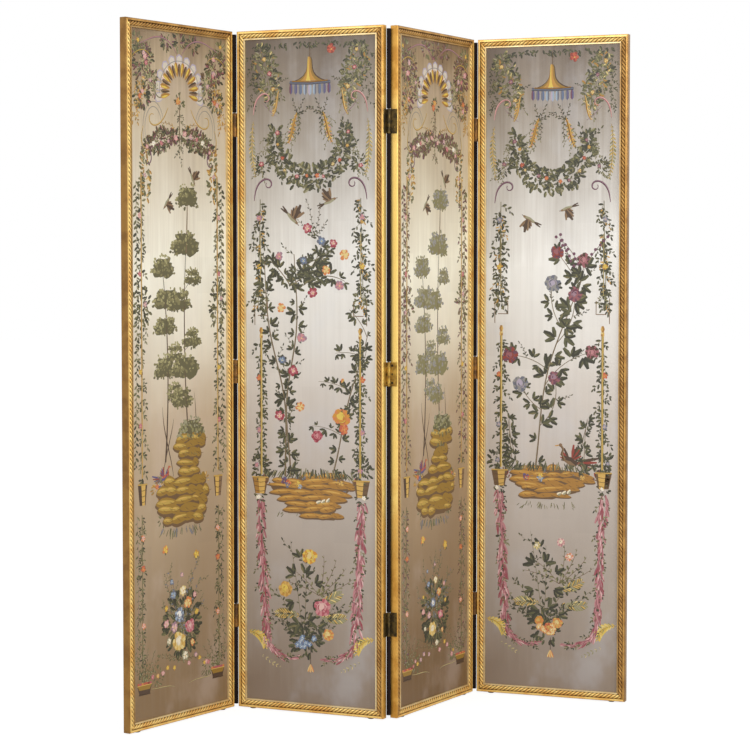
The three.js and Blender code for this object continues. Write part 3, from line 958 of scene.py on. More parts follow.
class Painting:
    def __init__(self, number, seed):
        self.number = number
        self.draws = random.Random(seed)
        self.draw = self.draws.uniform
        self.pick = self.draws.choice
        self.bm = bmesh.new()
        self.names = []
        self.cache = {}
        self.side = 1
        curve = bpy.data.curves.new("brush_lines", "CURVE")
        curve.dimensions = "3D"
        curve.bevel_depth = 1.0
        curve.bevel_resolution = 0
        curve.use_fill_caps = True
        self.curve = curve

    def slot(self, name):
        if name not in self.names:
            self.names.append(name)
            self.curve.materials.append(PAINTS[name])
        return self.names.index(name)

    def vary(self, value, share):
        return value * self.draw(1 - share, 1 + share)

    def sides(self):
        """The loop that draws its body on the right and then mirrored on the left."""
        for self.side in (1, -1):
            yield
        self.side = 1

    def relief(self, layer):
        """How far a touch stands out. No two touches of a layer are level."""
        return RELIEF + layer * LAYER_STEP + self.draw(0, LAYER_STEP / 2)

    def stamp(self, shape, paints, u, v, length, turn=0.0, wide=1.0, layer=0):
        """One touch. paints is one tone, or two for the upper and the lower half of it."""
        paints = (paints, paints) if isinstance(paints, str) else paints
        key = (shape, paints)
        if key not in self.cache:
            mesh = STAMPS[shape].copy()
            slots = [self.slot(paints[0]), self.slot(paints[1])]
            for face in mesh.polygons:
                face.material_index = slots[face.material_index]
            self.cache[key] = mesh
        height = SUNK + self.relief(layer)
        place = Matrix.Translation((u, v, -SUNK)) @ Matrix.Rotation(math.radians(turn), 4, "Z")
        if self.side < 0:
            place = Matrix.Diagonal((-1, 1, 1, 1)) @ place
        add_copy(self.bm, self.cache[key], place @ Matrix.Diagonal((length, length * wide, height, 1)))

    def line(self, points, width, tone, layer=0, taper=(0.3, 1.0, 0.2)):
        """A brush line through points. taper gives the pressure at its start, middle and end."""
        spline = self.curve.splines.new("POLY")
        spline.points.add(len(points) - 1)
        spline.material_index = self.slot(tone)
        height = self.relief(layer) / LINE_FLATNESS
        last = len(points) - 1
        for index, (point, target) in enumerate(zip(points, spline.points)):
            share = index / last
            if share < 0.5:
                pressure = taper[0] + (taper[1] - taper[0]) * math.sin(share * math.pi)
            else:
                pressure = taper[2] + (taper[1] - taper[2]) * math.sin(share * math.pi)
            target.co = (point[0] * self.side, point[1], height, 1)
            target.radius = width / 2 * pressure

    def fill(self, points, tone, layer=0):
        """A flat patch inside a closed outline."""
        height = SUNK + self.relief(layer)
        part = bmesh.new()
        face = polygon(part, [(u * self.side, v, -SUNK) for u, v in points])
        face.material_index = self.slot(tone)
        push(part, [face], (0, 0, height))
        absorb(self.bm, as_mesh(part, "patch"))

    def finish(self):
        """Joins touches and lines, and hangs the painting on its leaf."""
        holder = add_object("brush_lines", self.curve)
        bpy.context.view_layer.update()
        drawn = holder.evaluated_get(bpy.context.evaluated_depsgraph_get())
        lines = bpy.data.meshes.new_from_object(drawn)
        lines.transform(Matrix.Diagonal((1, 1, LINE_FLATNESS, 1)))
        absorb(self.bm, lines)
        bpy.data.objects.remove(holder)
        bpy.data.curves.remove(self.curve)
        for mesh in self.cache.values():
            bpy.data.meshes.remove(mesh)
        bmesh.ops.recalc_face_normals(self.bm, faces=self.bm.faces)
        front = Matrix.Translation((LEAF_WIDTH / 2, PAINT_PLANE, 0)) @ Matrix.Rotation(math.pi / 2, 4, "X")
        space = leaf_space[self.number] @ front @ Matrix.Scale(MM, 4)
        name = f"panel_{self.number}_painting"
        triangles = sum(len(face.verts) - 2 for face in self.bm.faces)
        print(name, "triangles", triangles, "tones", len(self.names))
        materials = [PAINTS[tone] for tone in self.names]
        make_piece(name, f"panel_{self.number}", self.bm, materials, space)


# %% [markdown]
# ## Paths
# Stems, scrolls and trunks are all paths that start somewhere in some direction and bend as they go. The
# bend may change on the way, so one function draws a straight stalk, an arch or a volute that curls up.

# %% Paths
def path(u, v, heading, length, bends=(0.0,), steps=16):
    """Points along a line that turns by the bends, in degrees in all, spread over its length."""
    points = [(u, v)]
    angle = heading
    for step in range(steps):
        place = (step + 0.5) / steps * (len(bends) - 1)
        first = min(int(place), len(bends) - 1)
        second = min(first + 1, len(bends) - 1)
        bend = bends[first] + (bends[second] - bends[first]) * (place - first)
        angle += bend / steps / 2
        u += math.cos(math.radians(angle)) * length / steps
        v += math.sin(math.radians(angle)) * length / steps
        angle += bend / steps / 2
        points.append((u, v))
    return points


def along(points, share):
    """The point at a share of a path, and the heading there."""
    place = share * (len(points) - 1)
    first = min(int(place), len(points) - 2)
    (u0, v0), (u1, v1) = points[first], points[first + 1]
    part = place - first
    heading = math.degrees(math.atan2(v1 - v0, u1 - u0))
    return u0 + (u1 - u0) * part, v0 + (v1 - v0) * part, heading


# %% [markdown]
# ## Sprigs and vines
# Leafy ornament is a stem with small leaves on both sides. The leaves get smaller to the tip, and no two
# are quite alike. A family is a handful of leaf colours, each a tone for the upper half of the leaf and
# one for the lower half, and every leaf picks one of them.

# %% Leaves on stems
DARK = (("leaf", "pine"), ("olive", "bottle"), ("bottle", "pine"))
SOFT = (("moss", "leaf"), ("olive", "leaf"), ("sage", "olive"))
GREY = (("smoke", "slate"), ("sage", "leaf"), ("olive", "slate"))
WARM = (("gold", "ochre"), ("straw", "honey"), ("moss", "ochre"))
RUSSET = (("sepia", "umber"), ("bark", "plum"), ("husk_dark", "umber"))


def step_out(u, v, turn, reach, squash=1.0):
    """The point at a reach from another one, in a direction given in degrees."""
    radians = math.radians(turn)
    return u + math.cos(radians) * reach, v + math.sin(radians) * reach * squash


def vine(art, points, size, count, family, tone="bark", width=1.2, layer=1, spread=48, shrink=0.5):
    """A stem with leaves on both sides. shrink is the share of size that the last leaves lose."""
    if width:
        art.line(points, width, tone, layer, (0.9, 1.0, 0.4))
    for index in range(count):
        share = (index + art.draw(0.2, 0.8)) / count
        u, v, heading = along(points, share)
        length = art.vary(size * (1 - shrink * share), 0.25)
        turn = heading + (1 if index % 2 else -1) * art.vary(spread, 0.35)
        art.stamp("leaf", art.pick(family), u, v, length, turn, art.vary(1.0, 0.2), layer + 1)


def sprig(art, u, v, heading, length, size=9, count=6, family=DARK, bend=20, tone="bark"):
    stem = path(u, v, heading, length, (bend,), 4)
    vine(art, stem, size, count, family, tone, 0.9)
    art.stamp("leaf", art.pick(family), *stem[-1], size * 0.8, heading + bend, 0.9, 2)


def twigs(art, points, reach, count, size, family, leaves=4, tone="olive"):
    """Short leafy twigs on both sides of a path."""
    for index in range(count):
        u, v, heading = along(points, (index + art.draws.random()) / count)
        hand = 1 if index % 2 else -1
        turn = heading + hand * art.draw(25, 80)
        sprig(art, u, v, turn, art.vary(reach, 0.4), size, leaves, family, -hand * 40, tone)


def leaf_hand(art, u, v, size, family, fingers=3, heading=-90.0):
    """A few long leaves that spread from one point."""
    for index in range(fingers):
        aside = index - (fingers - 1) / 2
        turn = heading + aside * 46 + art.draw(-12, 12)
        length = art.vary(size * (1 - 0.1 * abs(aside)), 0.15)
        art.stamp("leaf", art.pick(family), u, v, length, turn, 0.8, 2 + index % 3)


# %% [markdown]
# ## Flowers and garlands
# Small flowers are rings of petals. A full bloom is a ring of petals under a few ragged patches, each
# smaller and lighter than the one below, with curled petal edges drawn over them. A garland is leaves
# packed along a path, with flowers set on it at even steps.

# %% Flowers and garlands
def flower(art, u, v, size, tones, petals=6, layer=3, middle="gold"):
    """Rings of loose petals from dark to light, round a dot."""
    for ring, tone in enumerate(tones):
        reach = size * (1 - 0.25 * ring) / 2
        start = art.draw(0, 360)
        count = petals + ring
        for index in range(count):
            turn = start + 360 * index / count + art.draw(-12, 12)
            pair = (tone, tones[max(ring - 1, 0)]) if index % 2 else tone
            art.stamp("petal", pair, u, v, art.vary(reach, 0.16), turn, 1.35, layer + ring)
    top = layer + len(tones)
    art.stamp("dot", middle, u + size * 0.03, v - size * 0.04, size * 0.15, 0, 1, top)


def rose(art, u, v, size, tones, layer=3):
    """A full bloom in tones from dark to light."""
    for index in range(7):
        turn = art.draw(0, 30) + 360 * index / 7
        art.stamp("petal", (tones[0], tones[1]), u, v, art.vary(size * 0.52, 0.12), turn, 1.5, layer)
    for ring, tone in enumerate(tones):
        aside = size * 0.03 * ring
        turn = art.draw(0, 360)
        art.stamp("patch", tone, u - aside, v + aside, size * (0.82 - 0.2 * ring), turn, 1, layer + ring)
    for index in range(5):
        start = art.draw(0, 360)
        reach = size * (0.14 + 0.05 * index)
        curl = path(*step_out(u, v, start, reach), start + 95, reach * 1.5, (85,), 4)
        art.line(curl, size * 0.075, tones[-1] if index % 2 else tones[0], layer + len(tones) + 2)


def bud(art, u, v, size, turn, tones=("rose", "crimson")):
    art.stamp("petal", tones, u, v, size, turn, 0.9, 3)
    art.stamp("leaf", ("leaf", "pine"), u, v, size * 0.6, turn + 25, 0.9, 4)
    art.stamp("leaf", ("leaf", "pine"), u, v, size * 0.6, turn - 25, 0.9, 4)


def cluster(art, u, v, reach, leaves, size, family, flowers=(), bloom=16, squash=1.0):
    """A bunch: leaves that point away from the middle, with blooms over them."""
    for index in range(leaves):
        angle = art.draw(0, 360)
        x, y = step_out(u, v, angle, reach * math.sqrt(art.draws.random()), squash)
        turn = angle + art.draw(-35, 35)
        art.stamp("leaf", art.pick(family), x, y, art.vary(size, 0.3), turn, 1, index % 3)
    for tones in flowers:
        far = reach * 0.6 * math.sqrt(art.draws.random())
        x, y = step_out(u, v, art.draw(0, 360), far, squash)
        flower(art, x, y, art.vary(bloom, 0.2), tones, 5)


def swag(art, points, thick, leaves, size, family, flowers=(), bloom=14):
    """A garland: leaves packed along a path, thickest in its middle."""
    for index in range(leaves):
        share = (index + art.draws.random()) / leaves
        u, v, heading = along(points, share)
        half = thick * (0.3 + 0.7 * math.sin(share * math.pi))
        off = art.draw(-half, half)
        turn = heading + (90 if off > 0 else -90) + art.draw(-75, 75)
        x, y = step_out(u, v, heading + 90, off)
        art.stamp("leaf", art.pick(family), x, y, art.vary(size, 0.3), turn, 1, index % 3)
    for index, tones in enumerate(flowers):
        u, v, _ = along(points, (index + 0.5) / len(flowers))
        x, y = step_out(u, v, art.draw(0, 360), thick * 0.3)
        flower(art, x, y, art.vary(bloom, 0.2), tones, 5)


# %% [markdown]
# ## Scrolls, poles and festoons
# The borders are light architecture: thin gilt poles wound with leaves, scrolls with a bright and a dark
# edge, and slender bound garlands. A scroll is one path drawn twice, a dark line and a thinner light line
# beside it. A volute is a path whose bend grows until it curls up.

# %% Border ornament
def scroll(art, points, width, dark, light, layer=2):
    art.line(points, width, dark, layer, (0.35, 1.0, 0.3))
    shifted = [(u + width * 0.12, v + width * 0.16) for u, v in points]
    art.line(shifted, width * 0.5, light, layer + 2, (0.3, 1.0, 0.2))


def volute(art, u, v, heading, length, turn, width, dark, light):
    """A scroll that ends in a curl. turn is about how far it turns in all, in degrees."""
    scroll(art, path(u, v, heading, length, (0, turn * 0.6, turn * 2.8), 26), width, dark, light)


def acanthus(art, points, size, count, family, hands=(1, -1)):
    """Lobes that lean away from a stem, longest at its middle."""
    for index in range(count):
        share = (index + 0.5) / count
        u, v, heading = along(points, share)
        length = size * (0.45 + 0.75 * math.sin(share * math.pi))
        for hand in hands:
            art.stamp("petal", art.pick(family), u, v, length, heading + hand * 40, 0.75, 2)


def pole(art, u, top, bottom, tones, count, size, family, width=4.6, reach=17):
    line = [(u, top - (top - bottom) * index / 6) for index in range(7)]
    art.line(line, width, tones[0], 1, EVEN)
    art.line([(x - width * 0.16, y) for x, y in line], width * 0.4, tones[1], 3, EVEN)
    twigs(art, line, reach, count, size, family)


def laurel(art, points, size, thick, count, tones):
    """A slender bound garland: long leaves that overlap and point down it."""
    for index in range(count):
        u, v, heading = along(points, (index + art.draws.random()) / count)
        off = art.draw(-thick, thick)
        turn = heading + off * 2 + art.draw(-12, 12)
        x, y = step_out(u, v, heading + 90, off)
        art.stamp("leaf", art.pick(tones), x, y, art.vary(size, 0.3), turn, 0.5, index % 4)


def key_bracket(art, u, v, width, height, tone):
    """A bracket bent like one turn of a key pattern."""
    right = u + width / 2
    left = u - width / 2
    low = v - height * 0.1
    art.line([(right, v + height * 0.5), (right, v - height * 0.45)], 2.2, tone, 1, EVEN)
    art.line([(left, v + height * 0.4), (left, low)], 2.2, tone, 1, EVEN)
    art.line([(left - 1, low), (right - 9, low)], 2.2, tone, 1, EVEN)


def finial(art, u, v, size):
    art.stamp("petal", ("gold", "ochre"), u, v + size, size, -90, 1.0, 3)
    art.stamp("leaf", ("gold", "ochre"), u, v + size * 0.6, size, 90, 1.2, 4)
    art.stamp("dot", "straw", u - size * 0.1, v + size * 0.55, size * 0.3, 0, 1, 6)


# %% [markdown]
# ## Trees
# A tree is a few clumps on a thin trunk. A clump is two or three flat tiers of small touches, dark below
# and lit above, with a ragged edge that lets the silver through.

# %% Trees
def clump(art, u, v, wide, high, tones, touches=84):
    """A flat-footed cloud of foliage in tiers. tones run from dark to light."""
    tiers = 3 if high > 50 else 2
    for tier in range(tiers):
        share = tier / (tiers - 1)
        level = v + high * (share - 0.5) * 0.46
        reach = wide * (1 - 0.3 * share) / 2
        for index in range(3):
            x = u + reach * (index - 1) * 0.5
            art.stamp("patch", tones[0], x, level, art.vary(reach, 0.15), 10 * index, 0.6, tier)
        for index in range(touches // tiers):
            far = art.draw(-1, 1)
            rise = art.draw(-1, 1) * math.sqrt(1 - 0.8 * far * far)
            light = rise - far * 0.35 + art.draw(-0.6, 0.6)
            tone = tones[2] if light > 0.3 else tones[1] if light > -0.45 else tones[0]
            turn = math.degrees(math.atan2(rise * 0.6, far)) + art.draw(-50, 50)
            x = u + far * reach
            y = level + rise * high * 0.27
            length = art.vary(wide * 0.05 + 4.5, 0.3)
            art.stamp("leaf", tone, x, y, length, turn, 1.4, tier + 1 + index % 3)


def tree(art, base, top, lean, clumps, tones, tone="umber"):
    """A trunk from base to top, with clumps given as (side step, share of height, width, height)."""
    length = math.hypot(top[0] - base[0], top[1] - base[1])
    heading = math.degrees(math.atan2(top[1] - base[1], top[0] - base[0]))
    trunk = path(*base, heading - lean / 2, length, (lean,), 12)
    art.line(trunk, 5.6, tone, -1, (1.0, 0.75, 0.3))
    art.line([(u - 0.9, v) for u, v in trunk], 1.8, "sepia", 0, (1.0, 0.7, 0.2))
    for step, share, wide, high in clumps:
        u, v, _ = along(trunk, share)
        if abs(step) > 4:
            branch = [(u, v - abs(step) * 1.1), (u + step * 0.6, v - high * 0.4), (u + step, v)]
            art.line(branch, 2.2, tone, -1)
        clump(art, u + step, v, wide, high, tones)


# %% [markdown]
# ## Birds
# A bird is a dozen or two of long feather touches round a slim body. Each part is placed by shares of the
# bird's size, so that one function serves birds of any size and heading.

# %% Birds
def bird(art, u, v, size, turn, tones=("umber", "sepia", "sage")):
    """A bird in flight: a slim body, a forked tail and two wings of long feathers."""
    def part(shape, forward, across, length, angle, wide, tone, layer):
        x, y = step_out(u, v, turn, forward * size)
        x, y = step_out(x, y, turn + 90, across * size)
        art.stamp(shape, tone, x, y, length * size, turn + angle, wide, layer)

    part("leaf", -0.36, 0, 0.8, 0, 0.62, (tones[1], tones[2]), 4)
    part("dot", 0.36, 0.0, 0.15, 0, 0.9, tones[1], 5)
    part("leaf", 0.4, 0.0, 0.15, -8, 0.6, "bark", 3)
    for angle in (172, 188):
        part("leaf", -0.22, 0, 0.56, angle, 0.36, tones[0], 3)
    for feather in range(4):
        far = 0.84 - feather * 0.15
        start = 0.16 - feather * 0.06
        part("leaf", start, 0.02, far, 108 + feather * 9, 0.55, tones[feather % 2], 6 - feather)
        part("leaf", start - 0.06, 0.0, far * 0.86, 72 + feather * 6, 0.5, tones[(feather + 1) % 2], 2)


def standing_bird(art, u, v, size, hand, tones):
    """A long-tailed bird on the ground that looks up. hand is the side it faces."""
    def part(shape, across, up, length, angle, wide, tone, layer):
        turn = angle if hand > 0 else 180 - angle
        art.stamp(shape, tone, u + hand * across * size, v + up * size, length * size, turn, wide, layer)

    for feather in range(5):
        part("leaf", -0.1, 0.3, 1.0 - 0.1 * feather, 168 + feather * 10, 0.26, tones[feather % 2], 2)
        part("leaf", 0.02, 0.4, 0.62 - 0.05 * feather, 96 + feather * 15, 0.4, tones[1 - feather % 2], 5)
        part("leaf", 0.12, 0.36, 0.56 - 0.05 * feather, 66 - feather * 15, 0.4, tones[feather % 2], 3)
    part("leaf", -0.22, 0.22, 0.72, 24, 0.85, (tones[2], tones[0]), 6)
    neck = [(0.3, 0.4), (0.42, 0.62), (0.36, 0.8), (0.46, 0.94)]
    art.line([(u + hand * x * size, v + y * size) for x, y in neck], size * 0.1, tones[2], 6, (1, 0.9, 0.8))
    part("dot", 0.47, 0.95, 0.14, 0, 1.0, tones[2], 7)
    part("leaf", 0.5, 0.95, 0.2, -10, 0.5, "honey", 7)
    for foot in (0.02, 0.14):
        art.line([(u + hand * foot * size, v + 0.26 * size), (u + hand * foot * size, v)], 1.6, "bark", 4)


# %% [markdown]
# ## Ground and baskets
# The ground is a heap of rounded ledges: one filled outline, then rows of stones from the top down. Each
# stone is a dark body under a middle tone, with two creases. Those towards the light carry two lighter
# tones as well. Baskets and dishes are filled outlines laid over each other, from the shade to the light.

# %% Ground and baskets
LEDGE_LIGHTS = ((-0.05, 0.08, 0.78, 0.46, 1.0), (-0.1, 0.14, 0.44, 0.32, 1.4))
ROW_LAYERS = 1.2


def strata(art, rows, tones, step=24.0, length=70.0):
    """A heap of rounded ledges. rows give (height, left, right) from the top down."""
    def edges(level):
        for (v0, left0, right0), (v1, left1, right1) in zip(rows, rows[1:]):
            if level >= v1:
                share = (v0 - level) / (v0 - v1)
                return left0 + (left1 - left0) * share, right0 + (right1 - right0) * share
        return rows[-1][1:]

    inside = [(left + 10, v) for v, left, right in rows]
    outside = [(right - 10, v) for v, left, right in rows]
    art.fill(outside + inside[::-1], tones[0], 0)
    level = rows[0][0]
    layer = 1.0
    while level > rows[-1][0]:
        low, high = edges(level)
        u = low - art.draw(0, 8)
        while u < high - 12:
            wide = min(art.vary(length, 0.45), high - u + 8)
            deep = art.vary(step * 1.5, 0.25)
            turn = art.draw(-9, 9)
            x = u + wide / 2
            y = level + art.draw(-0.2, 0.2) * step
            lit = (x - low) / (high - low) < art.draw(0.4, 1.1)
            art.stamp("ledge", tones[0], x, y - deep * 0.13, wide * 1.04, turn, deep / wide, layer)
            art.stamp("ledge", tones[1], x, y, wide * 0.98, turn, deep / wide * 0.82, layer + 0.5)
            lights = LEDGE_LIGHTS if lit else ()
            for tone, (aside, up, share, flat, rise) in zip(tones[2:], lights):
                spot = (x + wide * aside, y + deep * up)
                art.stamp("ledge", tone, *spot, wide * share, turn, flat * deep / wide, layer + rise)
            for share in (0.3, 0.62):
                start = (x - wide * (0.5 - share), y + deep * 0.1)
                crease = path(*start, -70 + 60 * share, deep * 0.5, (40,), 4)
                art.line(crease, 1.3, tones[0], layer + 2)
            u += wide * art.draw(0.62, 0.85)
        level -= art.vary(step, 0.25)
        layer += ROW_LAYERS


def grasses(art, u, v, wide, count, family, length=18):
    for index in range(count):
        x = u + art.draw(-wide / 2, wide / 2)
        y = v + art.draw(-6, 6)
        turn = 90 + (x - u) / wide * 70 + art.draw(-20, 20)
        art.stamp("leaf", art.pick(family), x, y, art.vary(length, 0.4), turn, 0.35, 3)


def planter(art, u, v, wide, high):
    """A shallow footed dish of flowers."""
    rim = [(u - wide / 2, v), (u + wide / 2, v), (u + wide * 0.36, v - high), (u - wide * 0.36, v - high)]
    art.fill(rim, "umber", 2)
    art.fill([(x, y + 1) if y > v - 1 else (x, y + high * 0.5) for x, y in rim], "lichen", 3)
    art.line([(u - wide / 2, v), (u + wide / 2, v)], 3.2, "gold", 5, EVEN)
    art.line([(u - wide * 0.4, v - high), (u + wide * 0.4, v - high)], 3.0, "umber", 5, EVEN)
    for index in range(7):
        x = u + wide * (index / 7 - 0.43)
        art.stamp("dot", art.pick(("coral", "brick", "rose", "orange")), x, v + 4, 8, 0, 0.8, 6)


def basket(art, u, v, wide, high, tones=("ochre", "gold", "bark")):
    """A basket, wider at its rim, shaded from left to right."""
    for share, shift, tone in ((1.0, 0.0, tones[2]), (0.84, 0.02, tones[0]), (0.46, -0.1, tones[1])):
        top = wide / 2 * share
        middle = u + wide * shift
        foot = top * 0.62
        rim = [(middle - top, v + high), (middle + top, v + high)]
        art.fill(rim + [(middle + foot, v), (middle - foot, v)], tone, 2 + int(4 - share * 4))
    for index in range(3):
        level = v + high * (index + 0.7) / 3.6
        reach = wide * (0.31 + 0.16 * (level - v) / high)
        art.line([(u - reach, level), (u, level - 3), (u + reach, level)], 1.4, tones[2], 8, EVEN)
    art.line([(u - wide / 2, v + high), (u + wide / 2, v + high)], 4.0, "gold", 9, EVEN)


# %% [markdown]
# ## The first design: palmette, trees and a mixed bouquet
# The first and third leaves share one design. A palmette in amber and gold stands in a ring of pale
# scallops, with leafy garlands below it. Slender trees rise from a crag of ledges, and a bouquet hangs
# in the lower field between two thin poles. The third leaf has duller leaves, greyer trees and smaller
# blooms. The numbers are millimetres from the leaf's middle line and from the floor.

# %% Palmette
FAN_V = 1655
RED_BLOOM = ("rose", "pink")
PINK_BLOOM = ("pink", "blush")
WHITE_BLOOM = ("cream", "chalk")
GOLD_BLOOM = ("honey", "lemon")
BLUE_BLOOM = ("slate", "sky")
MAUVE_BLOOM = ("mauve", "blush")


def palmette(art):
    for index in range(11):
        turn = 90 + (index - 5) * 20
        u, v = step_out(0, FAN_V - 4, turn, 59)
        art.stamp("petal", "lilac", u, v, 43, turn, 1.2, 0)
        art.stamp("petal", "pearl", u, v, 39, turn, 1.05, 1)
        art.stamp("petal", ("blush", "cream"), u, v, 22, turn + 3, 0.7, 2)
    for index in range(19):
        turn = 90 + (index - 9) * 11.4
        u, v = step_out(0, FAN_V, turn, 38)
        if index % 2:
            art.stamp("petal", ("umber", "sepia"), u, v, 36, turn, 0.6, 3)
        else:
            art.stamp("petal", ("honey", "ochre"), u, v, 40, turn, 0.66, 4)
            art.stamp("leaf", "lemon", *step_out(0, FAN_V, turn + 2, 48), 26, turn + 2, 0.45, 6)
    arch = [step_out(0, FAN_V, turn, 80) for turn in range(-14, 195, 10)]
    art.line(arch, 1.8, "smoke", 3, EVEN)
    for _ in art.sides():
        scroll(art, path(8, FAN_V + 92, 62, 170, (-110, -130, 50), 14), 4.0, "mauve", "husk")
        volute(art, 46, FAN_V - 44, -60, 130, 280, 4.4, "honey", "straw")
        volute(art, 100, FAN_V + 44, -80, 110, -300, 3.6, "olive", "sage")
        scroll(art, path(112, FAN_V + 80, 60, 90, (-160, -60), 10), 3.2, "ochre", "lemon")
        twigs(art, path(92, FAN_V - 10, 70, 90, (-30,)), 20, 14, 9, (("sage", "moss"), ("straw", "sage")))
    cluster(art, 0, FAN_V - 24, 16, 24, 10, SOFT + DARK, (("orange", "gold"), ("coral", "orange")), 18)


def first_top(art, family):
    mixed = family + RUSSET
    for u, count in ((-52, 26), (0, 34), (54, 26)):
        cluster(art, u, 1783 - abs(u) * 0.06, 20, count, 13, mixed)
    for _ in art.sides():
        blooms = (PINK_BLOOM, MAUVE_BLOOM, RED_BLOOM)
        cluster(art, 148, 1726, 38, 84, 15, mixed, blooms, 17, 1.1)
        cluster(art, 114, 1686, 22, 30, 13, SOFT + RUSSET, (MAUVE_BLOOM,), 14)
        cluster(art, 150, 1636, 26, 50, 14, mixed, (("coral", "orange"), PINK_BLOOM), 13)
        cluster(art, 168, 1774, 18, 24, 13, SOFT, (GOLD_BLOOM,), 12)
        twigs(art, path(150, 1692, -82, 130, (14,)), 26, 12, 12, WARM, 4, "sepia")
        twigs(art, path(104, 1764, -12, 70, (14,)), 22, 8, 11, mixed, 4, "sepia")
        twigs(art, path(92, 1640, 40, 130, (60,)), 24, 12, 12, SOFT + RUSSET, 4, "sepia")


def first_garlands(art, family):
    art.line(path(0, FAN_V - 40, -90, 120, (0,), 4), 2.6, "bark", 3, (1, 0.8, 0.3))
    twigs(art, path(0, FAN_V - 40, -90, 130, (0,), 4), 20, 12, 9, family)
    for _ in art.sides():
        for reach in (46, 37):
            loop = [step_out(104, 1556, turn, reach * 0.9, 1.65) for turn in range(160, -41, -12)]
            art.line(loop, 1.8, "smoke", 1, (0.6, 1, 0.4))
        drop = path(8, 1542, -14, 132, (8, -34))
        blooms = (PINK_BLOOM, MAUVE_BLOOM, RED_BLOOM, WHITE_BLOOM, PINK_BLOOM)
        swag(art, drop, 26, 150, 15, family + RUSSET, blooms, 14)
        twigs(art, drop, 26, 16, 13, SOFT + RUSSET, 4, "sepia")
        volute(art, 118, 1502, -110, 64, 300, 3.6, "plum", "mauve")
        volute(art, 144, 1560, -70, 90, -260, 4.0, "ochre", "straw")
        swag(art, path(140, 1502, -92, 130, (-12, 20)), 15, 66, 14, SOFT + WARM, (MAUVE_BLOOM,), 13)
        sprig(art, 20, 1560, 30, 60, 9, 9, WARM, -40)


# %% Trees of the first design
LEFT_CLUMPS = [
    (2, 1.0, 84, 58), (8, 0.84, 104, 50), (-6, 0.7, 88, 44),
    (30, 0.56, 60, 46), (-14, 0.49, 78, 66), (26, 0.36, 58, 46),
]
RIGHT_CLUMPS = [
    (-4, 1.0, 108, 62), (30, 0.86, 62, 40), (-24, 0.76, 96, 50),
    (30, 0.6, 70, 50), (0, 0.48, 110, 56), (-16, 0.35, 82, 48),
]
OLIVE_TREE = ("thicket", "foliage", "sunlit")
GREY_TREE = ("foliage", "smoke", "sage")


def first_trees(art, foliage):
    tree(art, (-62, 690), (-72, 1200), 14, LEFT_CLUMPS, foliage)
    tree(art, (44, 640), (24, 1262), -12, RIGHT_CLUMPS, foliage)
    tree(art, (24, 1236), (30, 1385), 4, [(0, 1.0, 86, 62)], foliage, "sepia")
    art.line(path(-30, 650, 100, 190, (40, -60), 8), 3.4, "umber", 1)
    art.line(path(66, 640, 96, 230, (-30, 40), 8), 3.0, "umber", 1)
    art.line(path(-72, 650, 84, 160, (-50, 40), 8), 3.0, "umber", 1)


# %% First design in full
MOSSY = ("bark", "lichen", "lichen_light", "gold")
CRAG = [
    (748, -18, 96), (720, -30, 92), (700, -4, 70), (676, -16, 64), (652, -8, 84), (630, -88, 98),
    (604, -100, 112), (572, -104, 96), (546, -84, 98), (524, -48, 66),
]


def first_ground(art):
    clump(art, 42, 772, 100, 60, ("thicket", "moss", "sage"), 110)
    strata(art, CRAG, MOSSY)
    for u, v, wide in ((-84, 636, 50), (84, 628, 46), (40, 700, 60)):
        grasses(art, u, v, wide, 14, SOFT)
    grasses(art, 0, 514, 150, 40, SOFT + GREY, -19)
    standing_bird(art, -70, 634, 46, 1, ("violet", "brick", "coral"))
    for _ in art.sides():
        cluster(art, 92, 626, 20, 22, 11, WARM, (("violet", "blue"), ("coral", "orange")), 14)
        cluster(art, 74, 540, 16, 18, 10, SOFT)


BOUQUET_STEMS = ((100, 150), (78, 170), (122, 128), (56, 136), (146, 100), (34, 108), (-60, 70), (-110, 64))
BOUQUET = [
    (-34, 338, 24, BLUE_BLOOM), (6, 346, 28, ("straw", "cream")), (26, 312, 32, ("orange", "straw")),
    (-8, 284, 38, ("slate", "sky", "chalk")), (34, 248, 38, ("rose", "pink", "blush")),
    (-30, 252, 30, MAUVE_BLOOM), (-62, 266, 24, PINK_BLOOM), (-10, 212, 52, ("gold", "straw", "cream")),
    (62, 284, 18, GOLD_BLOOM), (-40, 374, 16, BLUE_BLOOM), (14, 172, 28, ("sage", "cream")),
    (54, 330, 16, PINK_BLOOM), (-62, 306, 16, GOLD_BLOOM), (-52, 218, 20, ("sage", "cream")),
    (44, 204, 20, ("orange", "straw")), (2, 388, 14, MAUVE_BLOOM),
]


def first_bouquet(art, bloom):
    for heading, length in BOUQUET_STEMS:
        bend = art.draw(-24, 24)
        stem = path(art.draw(-8, 8), 262, heading, length, (bend,), 6)
        vine(art, stem, 13, 12, GREY)
        twigs(art, stem, 22, 7, 8, SOFT)
    greens = (("leaf", "pine"), ("bottle", "pine"), ("olive", "leaf"))
    cluster(art, 2, 262, 66, 190, 20, greens, (), 20, 1.25)
    for u, v, size, tones in BOUQUET:
        size *= bloom
        if size > 36:
            rose(art, u, v, size, tones, 4)
        else:
            flower(art, u, v, size, tones, 6, 4)
    for heading in (150, 168, 12, 30):
        sprig(art, 0, 160, heading, 96, 9, 12, SOFT, art.draw(-30, 30))
    for u, v in ((-58, 150), (-76, 138), (58, 168), (74, 158), (-30, 146), (30, 150)):
        flower(art, u, v, 14, art.pick((PINK_BLOOM, MAUVE_BLOOM, GOLD_BLOOM)), 5, 3)


